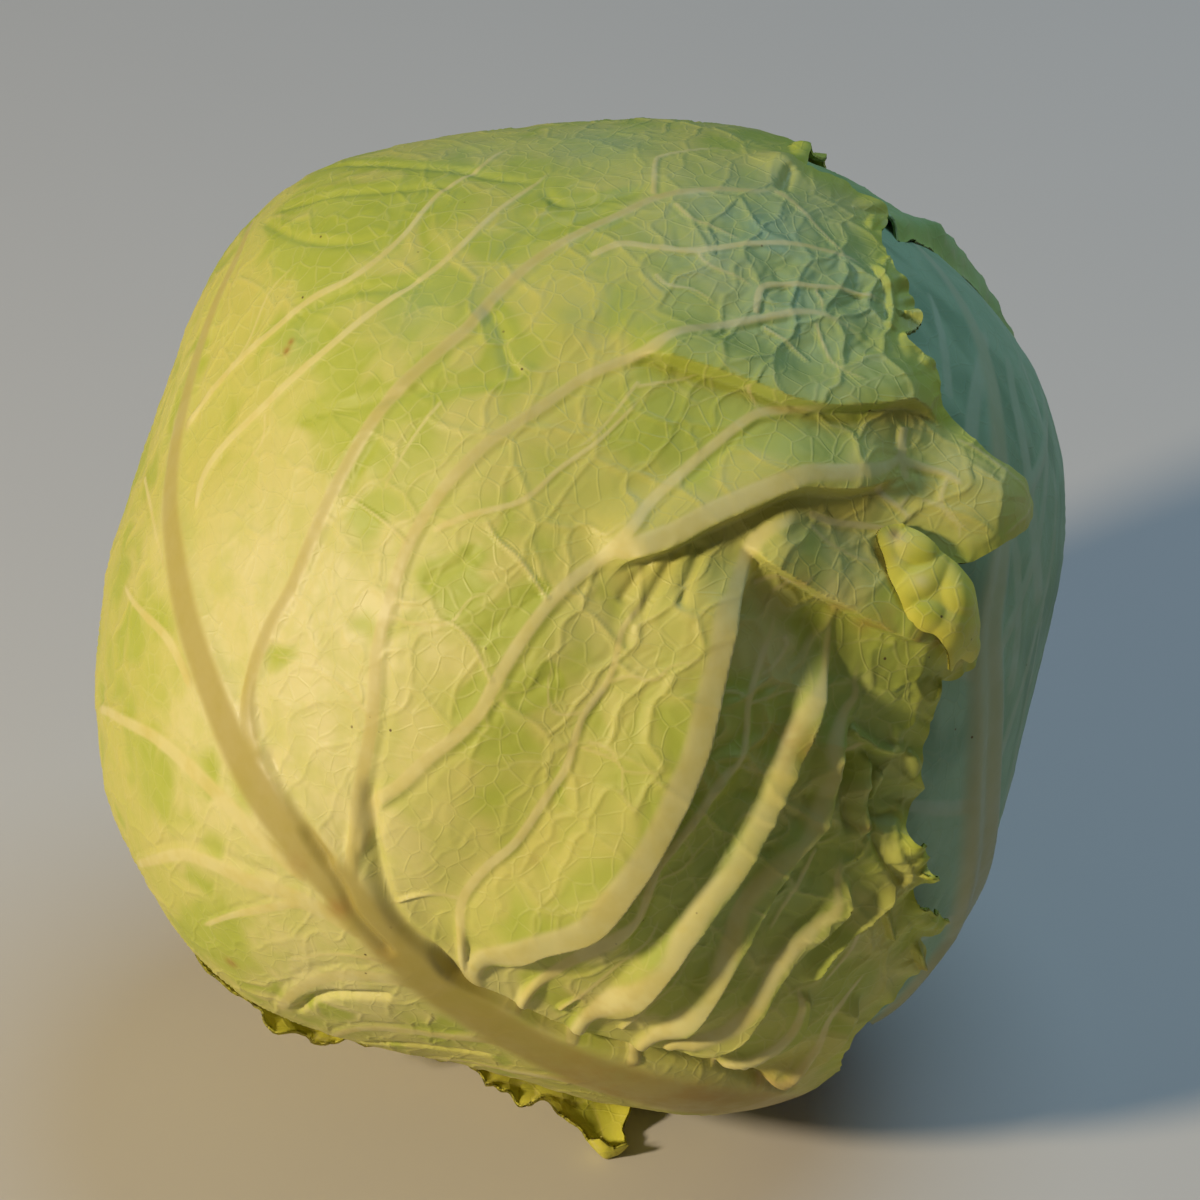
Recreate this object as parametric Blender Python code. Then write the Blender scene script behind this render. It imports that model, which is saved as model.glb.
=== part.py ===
# Head of savoy cabbage: four wrapper leaves, the closed heart they lie on and the cut stem stub.
# Metres, +Z up. The origin is the middle of the flat spot that the head rests on.
import math

import bmesh
import bpy
import numpy as np
from mathutils import Vector, geometry

# Real size of the head
HEAD_WIDTH = 0.190
HEAD_DEPTH = 0.095
REST_SINK = 0.0034

# The viewpoint that the outlines were drawn from: pixels of a 1200 x 1200 frame
OUTLINE_WIDTH_PX = 967.0
HEAD_CENTRE_PX = (581.0, 620.0)
FRAME_CENTRE_PX = (600.0, 600.0)
VIEW_ELEVATION = math.radians(30.0)
VIEW_DISTANCE = 1.05
METRES_PER_PX = HEAD_WIDTH / OUTLINE_WIDTH_PX
OUTLINE_HARMONICS = 7
SIGHT_STEPS = np.linspace(0.88, 1.06, 400)

# The outline was seen over the right leaf, so the outermost leaf stands out beyond it there
RIGHT_SIDE_TURN = math.radians(2.0)
RIGHT_SIDE_WIDTH = 0.75

# Leaves, as sheets wrapped round the head one over another
SHEET = 0.0011
LAYER_STEP = 0.0026
LEVEL_UNDER = -LAYER_STEP
LEVEL_FRONT = 0.0
LEVEL_BACK = LAYER_STEP
LEVEL_RIGHT = 2 * LAYER_STEP
LEVEL_HEART = 3 * LAYER_STEP + 0.0008
GRID_STEP = 0.0120
RIB_STEP = 0.0105
RIB_FOOT = 0.0030
RIB_CLEAR = 0.0023
MARGIN_STEP = 0.0058
MARGIN_BAND = 0.016
RIPPLES = [(31, 0.0, 0.3), (47, 1.0, 0.2)]
CLEAR = 0.0003
STALK_GAP = 0.0030

# Stem stub
STEM_RADIUS = 0.0150
STEM_TOP_INSET = 0.0028
STEM_SIDES = 24
STEM_TURN = 297.0
STEM_DISTANCE = 106.0
STALK_HALF_WIDTH = 0.011
STALK_DEPTH = 0.0026
STALK_LENGTH = 0.020

# Heart: a ball with the low edges of its leaves winding round it
HEART_SUBDIVISIONS = 4
HEART_LEAVES = 5
HEART_TWIST = 1.2
HEART_EDGE = 0.0006

VIEW = np.array([0.0, -math.cos(VIEW_ELEVATION), math.sin(VIEW_ELEVATION)])
RIGHT = np.array([1.0, 0.0, 0.0])
UP = np.array([0.0, math.sin(VIEW_ELEVATION), math.cos(VIEW_ELEVATION)])

# Outline of the head as seen, clockwise from the left
OUTLINE_PX = [
    (98, 710), (105, 620), (112, 540), (130, 480), (160, 410), (185, 335), (215, 280), (252, 218),
    (300, 185), (360, 160), (420, 143), (500, 126), (600, 121), (680, 123), (740, 135), (805, 155),
    (850, 175), (900, 205), (948, 240), (1000, 295), (1030, 345), (1050, 420), (1065, 500), (1065, 561),
    (1050, 644), (1035, 705), (1005, 785), (995, 850), (970, 940), (935, 990), (870, 1028), (800, 1070),
    (740, 1105), (690, 1118), (640, 1104), (600, 1090), (540, 1075), (480, 1065), (420, 1055),
    (350, 1040), (300, 1020), (240, 992), (190, 940), (150, 890), (125, 835), (110, 780),
]

# Margin of the front leaf: seen in the frame, then hidden, as (turn, distance) in degrees from the view
FRONT_RIGHT_MARGIN_PX = [
    (774, 1084), (832, 1058), (878, 1012), (914, 972), (940, 926), (914, 880), (900, 830), (914, 765),
    (928, 716), (950, 676), (984, 655), (984, 612), (966, 562), (1002, 540), (1028, 512), (1014, 480),
    (972, 440), (935, 390), (908, 360), (906, 300), (872, 230), (830, 190), (800, 150),
]
FRONT_HIDDEN_MARGIN = [
    (62, 100), (78, 109), (95, 118), (112, 127), (130, 134), (150, 137), (170, 134), (188, 127),
    (203, 118), (218, 109), (232, 103), (246, 102), (260, 103), (273, 103), (283, 101),
]

# Midrib and side ribs of the front leaf: width at the root and the tip in px, height at both in metres,
# points in px
FRONT_MIDRIB = (74, 16, 0.0042, 0.0012, [
    (745, 1095), (680, 1085), (600, 1062), (530, 1030), (460, 985), (400, 940), (350, 890), (300, 840),
    (262, 790), (235, 740), (210, 680), (190, 620), (178, 560), (172, 500), (180, 430), (200, 360),
    (222, 300), (255, 225),
])
FRONT_RIBS = [
    (24, 12, 0.0018, 0.0008, [
        (270, 790), (248, 720), (252, 670), (290, 590), (330, 500), (391, 400), (468, 330), (538, 261),
        (624, 215), (718, 191), (790, 176)]),
    (30, 12, 0.0020, 0.0010, [
        (441, 990), (383, 938), (353, 871), (358, 798), (377, 651), (409, 544), (455, 477), (530, 416),
        (637, 357), (718, 328), (812, 312), (868, 341), (905, 380)]),
    (24, 12, 0.0018, 0.0010, [
        (357, 862), (375, 802), (453, 739), (494, 686), (550, 603), (628, 533), (681, 474), (753, 416),
        (868, 405)]),
    (24, 12, 0.0016, 0.0008, [
        (466, 976), (464, 896), (545, 798), (585, 712), (622, 629), (668, 557)]),
    (34, 14, 0.0028, 0.0014, [
        (472, 968), (532, 926), (607, 882), (669, 780), (708, 651), (751, 544), (819, 495)]),
    (28, 12, 0.0020, 0.0010, [
        (581, 1018), (661, 951), (723, 860), (784, 731), (830, 629), (812, 583)]),
    (28, 12, 0.0020, 0.0010, [
        (642, 1040), (723, 941), (768, 860), (822, 769), (856, 675)]),
    (24, 12, 0.0018, 0.0010, [
        (655, 1044), (723, 1029), (776, 954), (830, 901), (850, 836)]),
    (20, 10, 0.0015, 0.0008, [
        (715, 1066), (787, 1030), (855, 988), (885, 940)]),
    (46, 22, 0.0030, 0.0026, [
        (690, 528), (748, 501), (802, 481), (879, 476), (925, 460), (975, 480), (1010, 505)]),
    (26, 12, 0.0018, 0.0010, [
        (522, 990), (581, 951), (637, 914), (656, 860), (719, 777), (748, 704), (775, 616)]),
    (20, 10, 0.0012, 0.0008, [(430, 532), (523, 501), (600, 440), (640, 400)]),
    (20, 10, 0.0012, 0.0008, [(590, 706), (555, 700), (550, 655)]),
    (20, 10, 0.0012, 0.0008, [(612, 690), (652, 678), (703, 656)]),
    (36, 30, 0.0020, 0.0028, [(753, 546), (816, 583), (872, 612), (915, 630)]),
    (30, 24, 0.0012, 0.0022, [(660, 352), (754, 378), (861, 398), (920, 425)]),
    (20, 10, 0.0014, 0.0008, [(182, 668), (152, 618), (120, 581)]),
    (28, 12, 0.0020, 0.0010, [(288, 862), (227, 801), (147, 731), (104, 708)]),
    (24, 12, 0.0018, 0.0010, [(326, 922), (247, 879), (172, 855), (137, 862)]),
    (20, 10, 0.0014, 0.0008, [(392, 984), (328, 978), (285, 1008)]),
]
# Leaf pillows out between its ribs and lifts at its lobes: centre in px, radius in px, height in metres
FRONT_SWELLS = [
    ((975, 495), 62, 0.0050), ((948, 610), 50, 0.0055), ((900, 700), 45, 0.0020), ((905, 870), 45, 0.0030),
    ((880, 380), 60, 0.0020), ((780, 440), 60, 0.0015), ((620, 300), 90, 0.0012), ((500, 620), 110, 0.0010),
]

# Side ribs of the other leaves: width, rise along the leaf and sweep forward at the margin
SIDE_RIB_WIDTH = 0.006
SIDE_RIB_RISE = 0.030
SIDE_RIB_SWEEP = 0.020
SIDE_RIB_SPAN = (0.10, 0.84)

# The other leaves: the middle of each, its midrib from stalk to tip and its margin round from the stalk,
# as (turn, distance) in degrees from the view
RIGHT_MIDDLE = (6, 84)
RIGHT_MIDRIB_PX = [(935, 985), (962, 930), (974, 860), (980, 790), (984, 716), (984, 640), (996, 564)]
RIGHT_MIDRIB_TIP = [(22, 60), (36, 69), (48, 78)]
RIGHT_MARGIN = [
    (309, 124), (324, 132), (342, 136), (0, 136), (17, 131), (32, 121), (46, 109), (58, 98), (66, 86),
    (66, 70), (59, 56), (44, 44), (24, 34), (0, 30), (338, 31), (322, 38), (310, 49), (302, 62), (297, 74),
    (294, 86),
]
RIGHT_RIB_REACH = 0.060
BACK_MIDDLE = (95, 150)
BACK_MIDRIB = [(294, 132), (288, 158), (110, 168), (98, 145), (92, 122), (88, 100)]
BACK_MARGIN = [
    (312, 119), (325, 122), (342, 121), (358, 117), (14, 111), (28, 105), (38, 98), (44, 91), (50, 86),
    (57, 83), (66, 79), (76, 78), (88, 80), (102, 87), (118, 97), (136, 107), (155, 116), (172, 125),
    (188, 132), (204, 137), (221, 139), (240, 138), (259, 134), (276, 127), (285, 120),
]
BACK_RIB_REACH = 0.065
UNDER_MIDDLE = (240, 124)
UNDER_MIDRIB = [(283, 121), (268, 129), (250, 131), (232, 127), (217, 119), (206, 112)]
UNDER_MARGIN = [
    (291, 108), (287, 101), (282, 97), (277, 95), (274, 99), (271, 94), (266, 96), (262, 94), (258, 98),
    (250, 102), (243, 99), (239, 95), (234, 96), (230, 94), (226, 98), (217, 101), (207, 103), (199, 107),
    (195, 115), (198, 125), (207, 135), (222, 146), (245, 153), (270, 150), (288, 138), (294, 128),
]
UNDER_RIB_REACH = 0.038
UNDER_SWELLS = [((272, 95), 0.014, 0.0050), ((264, 95), 0.012, 0.0035), ((234, 95), 0.014, 0.0030)]


def bell(value, width):
    """A smooth hump of height one that has all but died out at twice its width."""
    return np.exp(-(value / width) ** 2)


def dot(a, b):
    return np.sum(np.asarray(a) * np.asarray(b), axis=-1)


def unit(v):
    v = np.asarray(v, float)
    return v / np.linalg.norm(v, axis=-1, keepdims=True)


def fit_outline():
    """Fourier terms of the outline's radius by its angle in the view plane."""
    px = np.array(OUTLINE_PX, float)
    x = (px[:, 0] - HEAD_CENTRE_PX[0]) * METRES_PER_PX
    y = (HEAD_CENTRE_PX[1] - px[:, 1]) * METRES_PER_PX
    turn = np.arctan2(y, x)
    radius = np.hypot(x, y)
    return np.linalg.lstsq(outline_terms(turn), radius, rcond=None)[0]


def outline_terms(turn):
    turn = np.atleast_1d(turn)
    columns = [np.ones_like(turn)]
    for k in range(1, OUTLINE_HARMONICS + 1):
        columns.append(np.cos(k * turn))
        columns.append(np.sin(k * turn))
    return np.stack(columns, axis=-1)


OUTLINE_FIT = fit_outline()


def head_radius(direction):
    """Distance from the head's centre to the outermost leaf, along a direction."""
    toward = dot(direction, VIEW)
    turn = np.arctan2(dot(direction, UP), dot(direction, RIGHT))
    side = outline_terms(turn) @ OUTLINE_FIT
    off_right = np.angle(np.exp(1j * (turn - RIGHT_SIDE_TURN)))
    side = side + LEVEL_RIGHT * bell(off_right, RIGHT_SIDE_WIDTH)
    flat = np.clip(1.0 - toward ** 2, 0.0, 1.0)
    return (toward ** 2 / HEAD_DEPTH ** 2 + flat / side ** 2) ** -0.5


def from_view(turn_degrees, distance_degrees):
    """Direction at an angle round the view axis and an angle away from it."""
    turn = np.radians(turn_degrees)
    away = np.radians(distance_degrees)
    planar = np.cos(turn)[..., None] * RIGHT + np.sin(turn)[..., None] * UP
    return np.cos(away)[..., None] * VIEW + np.sin(away)[..., None] * planar


def pixel_direction(pixels):
    """Directions from the head's centre to where the sight lines of some pixels meet the head."""
    px = np.array(pixels, float)
    aim = ((FRAME_CENTRE_PX[0] - HEAD_CENTRE_PX[0]) * RIGHT
           + (HEAD_CENTRE_PX[1] - FRAME_CENTRE_PX[1]) * UP) * METRES_PER_PX
    eye = aim + VIEW_DISTANCE * VIEW
    across = (px[:, 0] - FRAME_CENTRE_PX[0])[:, None] * RIGHT
    above = (FRAME_CENTRE_PX[1] - px[:, 1])[:, None] * UP
    sight = (across + above) * METRES_PER_PX - VIEW_DISTANCE * VIEW
    points = eye + SIGHT_STEPS[:, None, None] * sight
    gap = np.linalg.norm(points, axis=-1) - head_radius(unit(points))
    inside = gap < 0
    first = np.where(inside.any(axis=0), inside.argmax(axis=0), gap.argmin(axis=0))
    return unit(points[first, np.arange(len(px))])


class Sheet:
    """Flat drawing board laid on the head: its middle, its right and its up directions."""

    def __init__(self, middle, up):
        self.middle = unit(middle)
        self.up = unit(up - dot(up, self.middle) * self.middle)
        self.right = np.cross(self.up, self.middle)

    def draw(self, directions):
        directions = np.asarray(directions, float)
        away = np.arccos(np.clip(dot(directions, self.middle), -1, 1))
        turn = np.arctan2(dot(directions, self.up), dot(directions, self.right))
        return away[..., None] * HEAD_DEPTH * np.stack([np.cos(turn), np.sin(turn)], axis=-1)

    def wrap(self, flat):
        length = np.linalg.norm(flat, axis=-1)
        safe = np.where(length < 1e-9, 1.0, length)
        away = (length / HEAD_DEPTH)[..., None]
        planar = (flat[..., :1] * self.right + flat[..., 1:] * self.up) / safe[..., None]
        return np.cos(away) * self.middle + np.sin(away) * planar


def smooth_line(points, step, closed=False):
    """Even points along a Catmull-Rom curve through the given ones."""
    p = np.array(points, float)
    if closed:
        p = np.vstack([p[-1:], p, p[:2]])
    else:
        p = np.vstack([2 * p[0] - p[1], p, 2 * p[-1] - p[-2]])
    t = np.linspace(0, 1, 12, endpoint=False)[:, None]
    curve = []
    for a, b, c, d in zip(p[:-3], p[1:-2], p[2:-1], p[3:]):
        bend = 2 * b + (c - a) * t + (2 * a - 5 * b + 4 * c - d) * t ** 2 + (3 * b - a - 3 * c + d) * t ** 3
        curve.append(0.5 * bend)
    curve = np.vstack(curve + [p[-2:-1]])
    along = np.concatenate([[0], np.cumsum(np.linalg.norm(np.diff(curve, axis=0), axis=1))])
    count = max(2, int(round(along[-1] / step)) + 1)
    even = np.linspace(0, along[-1], count)
    line = np.stack([np.interp(even, along, curve[:, 0]), np.interp(even, along, curve[:, 1])], axis=-1)
    return line[:-1] if closed else line


def line_distance(points, line):
    """Distance from each point to a line, and how far along the line the nearest spot is, from 0 to 1."""
    a = line[:-1]
    b = line[1:]
    span = b - a
    length = np.linalg.norm(span, axis=1)
    start = np.concatenate([[0], np.cumsum(length)])
    rel = points[:, None, :] - a[None]
    t = np.clip(np.sum(rel * span, axis=2) / np.maximum(length ** 2, 1e-12), 0, 1)
    gap = np.linalg.norm(rel - t[..., None] * span, axis=2)
    best = gap.argmin(axis=1)
    row = np.arange(len(points))
    along = (start[best] + t[row, best] * length[best]) / start[-1]
    return gap[row, best], along


class Leaf:
    """One wrapper leaf: a flat outline and ribs on a sheet, its level under the outermost leaf."""

    def __init__(self, sheet, outline, ribs, level, depth, swells=(), wave=0.0, calm=(0.0, 0.1)):
        self.sheet = sheet
        self.outline = smooth_line(outline, MARGIN_STEP, closed=True)
        self.rim = np.vstack([self.outline, self.outline[:1]])
        self.ribs = ribs
        self.level = level
        self.depth = depth
        self.swells = swells
        self.wave = wave
        self.calm = calm

    def rib_relief(self, flat):
        relief = np.zeros(len(flat))
        for width0, width1, height0, height1, line in self.ribs:
            gap, along = line_distance(flat, line)
            half = np.maximum(0.5 * (width0 + (width1 - width0) * along), RIB_FOOT)
            height = height0 + (height1 - height0) * along
            relief = np.maximum(relief, height * np.clip(1 - gap / half, 0, 1))
        return relief

    def margin_relief(self, flat):
        gap, along = line_distance(flat, self.rim)
        near = np.clip(1 - gap / MARGIN_BAND, 0, 1) ** 1.5
        off_calm = np.abs(np.angle(np.exp(2j * math.pi * (along - self.calm[0])))) / (2 * math.pi)
        lively = np.clip((off_calm - self.calm[1]) / 0.03, 0, 1)
        ripple = np.full(len(flat), 0.5)
        for count, phase, share in RIPPLES:
            ripple += share * np.sin(2 * math.pi * count * along + phase)
        return self.wave * near * lively * ripple

    def swell_relief(self, flat):
        relief = np.zeros(len(flat))
        for centre, radius, height in self.swells:
            relief += height * bell(np.linalg.norm(flat - centre, axis=1), radius)
        return relief

    def stalk_depth(self, flat):
        """Extra thickness inwards where the midrib meets the stem."""
        line = self.ribs[0][4]
        root = np.linalg.norm(flat - line[0], axis=1)
        gap, _ = line_distance(flat, line)
        return self.depth * np.clip(1 - root / STALK_LENGTH, 0, 1) * np.clip(1 - gap / STALK_HALF_WIDTH, 0, 1)

    def mesh_points(self):
        """Margin, rib crests, rib feet and evenly spread points between them, with the edges to keep."""
        points = list(self.outline)
        ring = list(range(len(points)))
        edges = []
        crests = [self.outline[0]]
        feet = []
        for width0, width1, _, _, line in self.ribs:
            stations = smooth_line(line, RIB_STEP)
            known = np.array(crests)
            clear = np.min(np.linalg.norm(stations[:, None] - known[None], axis=2), axis=1) > RIB_CLEAR
            kept = np.flatnonzero(clear & self.well_inside(stations, 0.002))
            first = len(points)
            points += list(stations[kept])
            crests += list(stations[kept])
            for i in range(len(kept) - 1):
                if kept[i + 1] == kept[i] + 1:
                    edges.append((first + i, first + i + 1))
            run = np.gradient(stations, axis=0)
            side = np.stack([-run[:, 1], run[:, 0]], axis=1)
            side /= np.linalg.norm(side, axis=1, keepdims=True)
            along = np.linspace(0, 1, len(stations))[:, None]
            half = np.maximum(0.5 * (width0 + (width1 - width0) * along), RIB_FOOT)
            feet += list(stations + side * half) + list(stations - side * half)
        for spot in feet:
            self.add_if_clear(points, spot, RIB_CLEAR)
        reach = np.abs(self.outline).max()
        row_height = GRID_STEP * math.sqrt(3) / 2
        rows = int(reach / row_height) + 1
        for row in range(-rows, rows + 1):
            shift = 0.5 * GRID_STEP * (row % 2)
            for column in range(-rows - 1, rows + 2):
                spot = np.array([column * GRID_STEP + shift, row * row_height])
                self.add_if_clear(points, spot, 0.6 * GRID_STEP)
        return points, edges, ring

    def well_inside(self, spots, margin):
        gap, _ = line_distance(spots, self.rim)
        a = self.rim[:-1]
        b = self.rim[1:]
        straddles = (a[None, :, 1] > spots[:, None, 1]) != (b[None, :, 1] > spots[:, None, 1])
        rise = np.where(np.abs(b[:, 1] - a[:, 1]) < 1e-12, 1e-12, b[:, 1] - a[:, 1])
        cross = a[None, :, 0] + (spots[:, None, 1] - a[None, :, 1]) * (b[:, 0] - a[:, 0]) / rise
        hits = (straddles & (spots[:, None, 0] < cross)).sum(axis=1)
        return (hits % 2 == 1) & (gap > margin)

    def add_if_clear(self, points, spot, clear):
        gap = np.linalg.norm(np.array(points) - spot, axis=1)
        if gap.min() > clear and self.well_inside(spot[None], 0.6 * clear)[0]:
            points.append(spot)

    def build(self, name):
        points, edges, ring = self.mesh_points()
        flat, _, faces, _, _, _ = geometry.delaunay_2d_cdt(
            [Vector(p) for p in points], edges, [ring], 1, 1e-6)
        flat = np.array([tuple(p) for p in flat])
        triangles = [tuple(f) for f in faces if len(f) == 3]
        direction = self.sheet.wrap(flat)
        base = head_radius(direction) - self.level
        sheet = base + self.margin_relief(flat) + self.swell_relief(flat)
        outer = direction * (sheet + self.rib_relief(flat))[:, None] + CENTRE
        inner = direction * (sheet - SHEET - self.stalk_depth(flat))[:, None] + CENTRE
        outer[:, 2] = np.maximum(outer[:, 2], 0.0)
        inner[:, 2] = np.maximum(inner[:, 2], SHEET)
        return closed_sheet(name, outer, inner, triangles)


def closed_sheet(name, outer, inner, triangles):
    """Two alike faces joined round their rim into one closed body."""
    count = len(outer)
    used = set()
    for a, b, c in triangles:
        used.update(((a, b), (b, c), (c, a)))
    faces = list(triangles) + [(c + count, b + count, a + count) for a, b, c in triangles]
    for a, b in sorted(used):
        if (b, a) not in used:
            faces.append((b, a, a + count))
            faces.append((b, a + count, b + count))
    mesh = bpy.data.meshes.new(name)
    mesh.from_pydata([tuple(p) for p in np.vstack([outer, inner])], [], faces)
    return add_object(name, mesh)


def add_object(name, mesh):
    bm = bmesh.new()
    bm.from_mesh(mesh)
    loose = [v for v in bm.verts if not v.link_faces]
    bmesh.ops.delete(bm, geom=loose, context="VERTS")
    bm.to_mesh(mesh)
    bm.free()
    mesh.shade_smooth()
    mesh.set_sharp_from_angle(angle=math.radians(40))
    made = bpy.data.objects.new(name, mesh)
    bpy.context.collection.objects.link(made)
    return made


def paint(made, colour, roughness):
    material = bpy.data.materials.new(made.name)
    material.use_nodes = True
    shader = material.node_tree.nodes["Principled BSDF"]
    shader.inputs["Base Color"].default_value = (*colour, 1.0)
    shader.inputs["Roughness"].default_value = roughness
    shader.inputs["Metallic"].default_value = 0.0
    made.data.materials.append(material)


STEM = from_view(STEM_TURN, STEM_DISTANCE)


def rest_height():
    """Height of the head's centre when the lowest leaf is pressed flat by REST_SINK."""
    turn = np.linspace(0, 2 * math.pi, 73)
    drop = 0.0
    for tilt in np.linspace(0, 0.6, 61):
        around = np.stack([np.sin(tilt) * np.cos(turn), np.sin(tilt) * np.sin(turn),
                           -np.cos(tilt) * np.ones_like(turn)], axis=-1)
        reach = (head_radius(around) - LEVEL_UNDER) * math.cos(tilt)
        drop = max(drop, float(reach.max()))
    return drop - REST_SINK


CENTRE = np.array([0.0, 0.0, rest_height()])


def front_leaf():
    sheet = Sheet(VIEW, UP)

    def px(pixels):
        return sheet.draw(pixel_direction(pixels))

    seen = px(FRONT_MIDRIB[4])
    root, base = stalk_end(sheet, seen[0])
    outline = np.vstack([base[:1], px(FRONT_RIGHT_MARGIN_PX), turned(sheet, FRONT_HIDDEN_MARGIN), base[1:]])
    ribs = [(*scaled(FRONT_MIDRIB[:2]), *FRONT_MIDRIB[2:4], np.vstack([root, seen]))]
    ribs += [(*scaled(rib[:2]), *rib[2:4], px(rib[4])) for rib in FRONT_RIBS]
    swells = [(px([centre])[0], radius * METRES_PER_PX, height) for centre, radius, height in FRONT_SWELLS]
    return Leaf(sheet, outline, ribs, LEVEL_FRONT, STALK_DEPTH, swells, wave=0.0024, calm=(0.90, 0.14))


def scaled(widths):
    return tuple(w * METRES_PER_PX for w in widths)


def turned(sheet, angles):
    """Points on a sheet from a list of (turn, distance) in degrees."""
    pairs = np.array(angles, float)
    return sheet.draw(from_view(pairs[:, 0], pairs[:, 1]))


def stalk_end(sheet, toward_point):
    """Where a midrib starts beside the stem, and the two corners of its stalk."""
    stem_spot = sheet.draw(STEM)
    toward = unit(toward_point - stem_spot)
    root = stem_spot + toward * (STEM_RADIUS + STALK_GAP)
    side = np.array([-toward[1], toward[0]])
    return root + toward * 0.002, [root - side * STALK_HALF_WIDTH, root + side * STALK_HALF_WIDTH]


def side_ribs(spine, reach, pairs, height):
    """Pairs of ribs that leave the midrib and sweep forward to the margin."""
    even = smooth_line(spine, 0.002)
    steps = np.linspace(0, 1, 5)[:, None]
    ribs = []
    for share in np.linspace(*SIDE_RIB_SPAN, pairs, endpoint=False):
        k = int(share * (len(even) - 1))
        run = unit(even[k + 1] - even[k])
        side = np.array([-run[1], run[0]])
        shorter = 1 - 0.3 * abs(2 * share - 1)
        for hand in (-1, 1):
            across = side * hand * reach * shorter
            curve = even[k] + steps * (across + run * SIDE_RIB_RISE) + steps ** 2 * run * SIDE_RIB_SWEEP
            ribs.append((SIDE_RIB_WIDTH, SIDE_RIB_WIDTH, height, 0.4 * height, curve))
    return ribs


def right_leaf():
    sheet = Sheet(from_view(*RIGHT_MIDDLE), UP)
    seen = sheet.draw(pixel_direction(RIGHT_MIDRIB_PX))
    root, base = stalk_end(sheet, seen[0])
    spine = np.vstack([root, seen, turned(sheet, RIGHT_MIDRIB_TIP)])
    outline = np.vstack([base[:1], turned(sheet, RIGHT_MARGIN), base[1:]])
    ribs = [(0.0125, 0.006, 0.0026, 0.0006, spine)] + side_ribs(spine, RIGHT_RIB_REACH, 5, 0.0008)
    return Leaf(sheet, outline, ribs, LEVEL_RIGHT, 0.0)


def back_leaf():
    sheet = Sheet(from_view(*BACK_MIDDLE), UP)
    rest = turned(sheet, BACK_MIDRIB)
    root, base = stalk_end(sheet, rest[0])
    spine = np.vstack([root, rest])
    outline = np.vstack([base[1:], turned(sheet, BACK_MARGIN), base[:1]])
    ribs = [(0.0125, 0.006, 0.0026, 0.0002, spine)] + side_ribs(spine, BACK_RIB_REACH, 6, 0.0009)
    return Leaf(sheet, outline, ribs, LEVEL_BACK, STALK_DEPTH, wave=0.0004)


def under_leaf():
    sheet = Sheet(from_view(*UNDER_MIDDLE), UP)
    rest = turned(sheet, UNDER_MIDRIB)
    root, base = stalk_end(sheet, rest[0])
    spine = np.vstack([root, rest])
    outline = np.vstack([base[:1], turned(sheet, UNDER_MARGIN), base[1:]])
    swells = [(turned(sheet, [spot])[0], radius, height) for spot, radius, height in UNDER_SWELLS]
    ribs = [(0.012, 0.006, 0.0022, 0.0008, spine)] + side_ribs(spine, UNDER_RIB_REACH, 4, 0.0009)
    return Leaf(sheet, outline, ribs, LEVEL_UNDER, 0.0, swells, wave=0.0016)


def heart():
    """The closed head: a ball of overlapping leaves, each edge a low step."""
    bm = bmesh.new()
    bmesh.ops.create_icosphere(bm, subdivisions=HEART_SUBDIVISIONS, radius=1.0)
    across = unit(np.cross(STEM, VIEW))
    beyond = np.cross(across, STEM)
    for v in bm.verts:
        direction = unit(np.array(v.co))
        turn = math.atan2(dot(direction, beyond), dot(direction, across))
        polar = math.acos(np.clip(dot(direction, STEM), -1, 1))
        spiral = (HEART_LEAVES * turn / (2 * math.pi) + HEART_TWIST * polar) % 1.0
        step = HEART_EDGE * (spiral * math.sin(polar) - 1)
        radius = float(head_radius(direction)[0]) - LEVEL_HEART + step
        v.co = Vector(direction * radius + CENTRE)
        v.co.z = max(v.co.z, LEVEL_HEART + LAYER_STEP)
    mesh = bpy.data.meshes.new("heart")
    bm.to_mesh(mesh)
    bm.free()
    return add_object("heart", mesh)


def stem():
    """Round stub between the heart and the leaf stalks, with a slightly domed cut."""
    bm = bmesh.new()
    outermost = float(head_radius(STEM)[0])
    start = outermost - LEVEL_HEART + CLEAR
    end = outermost - STEM_TOP_INSET
    profile = [(0.0, start), (STEM_RADIUS * 0.96, start), (STEM_RADIUS, 0.5 * (start + end)),
               (STEM_RADIUS * 0.97, end - 0.0008), (STEM_RADIUS * 0.86, end), (0.0, end + 0.0006)]
    across = unit(np.cross(STEM, VIEW))
    beyond = np.cross(STEM, across)
    rings = []
    for radius, height in profile:
        turns = range(STEM_SIDES) if radius else [0]
        ring = []
        for i in turns:
            angle = 2 * math.pi * i / STEM_SIDES
            spot = across * radius * math.cos(angle) + beyond * radius * math.sin(angle) + STEM * height
            ring.append(bm.verts.new(Vector(spot + CENTRE)))
        rings.append(ring)
    for low, high in zip(rings[:-1], rings[1:]):
        for i in range(STEM_SIDES):
            j = (i + 1) % STEM_SIDES
            if len(low) == 1:
                bm.faces.new((low[0], high[j], high[i]))
            elif len(high) == 1:
                bm.faces.new((low[i], low[j], high[0]))
            else:
                bm.faces.new((low[i], low[j], high[j], high[i]))
    mesh = bpy.data.meshes.new("stem")
    bm.to_mesh(mesh)
    bm.free()
    return add_object("stem", mesh)


def main():
    for old in list(bpy.data.objects):
        bpy.data.objects.remove(old, do_unlink=True)
    paint(front_leaf().build("leaf_front"), (0.55, 0.56, 0.20), 0.45)
    paint(back_leaf().build("leaf_back"), (0.30, 0.40, 0.16), 0.50)
    paint(right_leaf().build("leaf_right"), (0.20, 0.31, 0.22), 0.50)
    paint(under_leaf().build("leaf_under"), (0.52, 0.48, 0.12), 0.50)
    paint(heart(), (0.66, 0.68, 0.36), 0.45)
    paint(stem(), (0.62, 0.60, 0.38), 0.60)
    for made in bpy.data.objects:
        print(made.name, len(made.data.polygons))


main()
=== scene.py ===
import math

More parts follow.
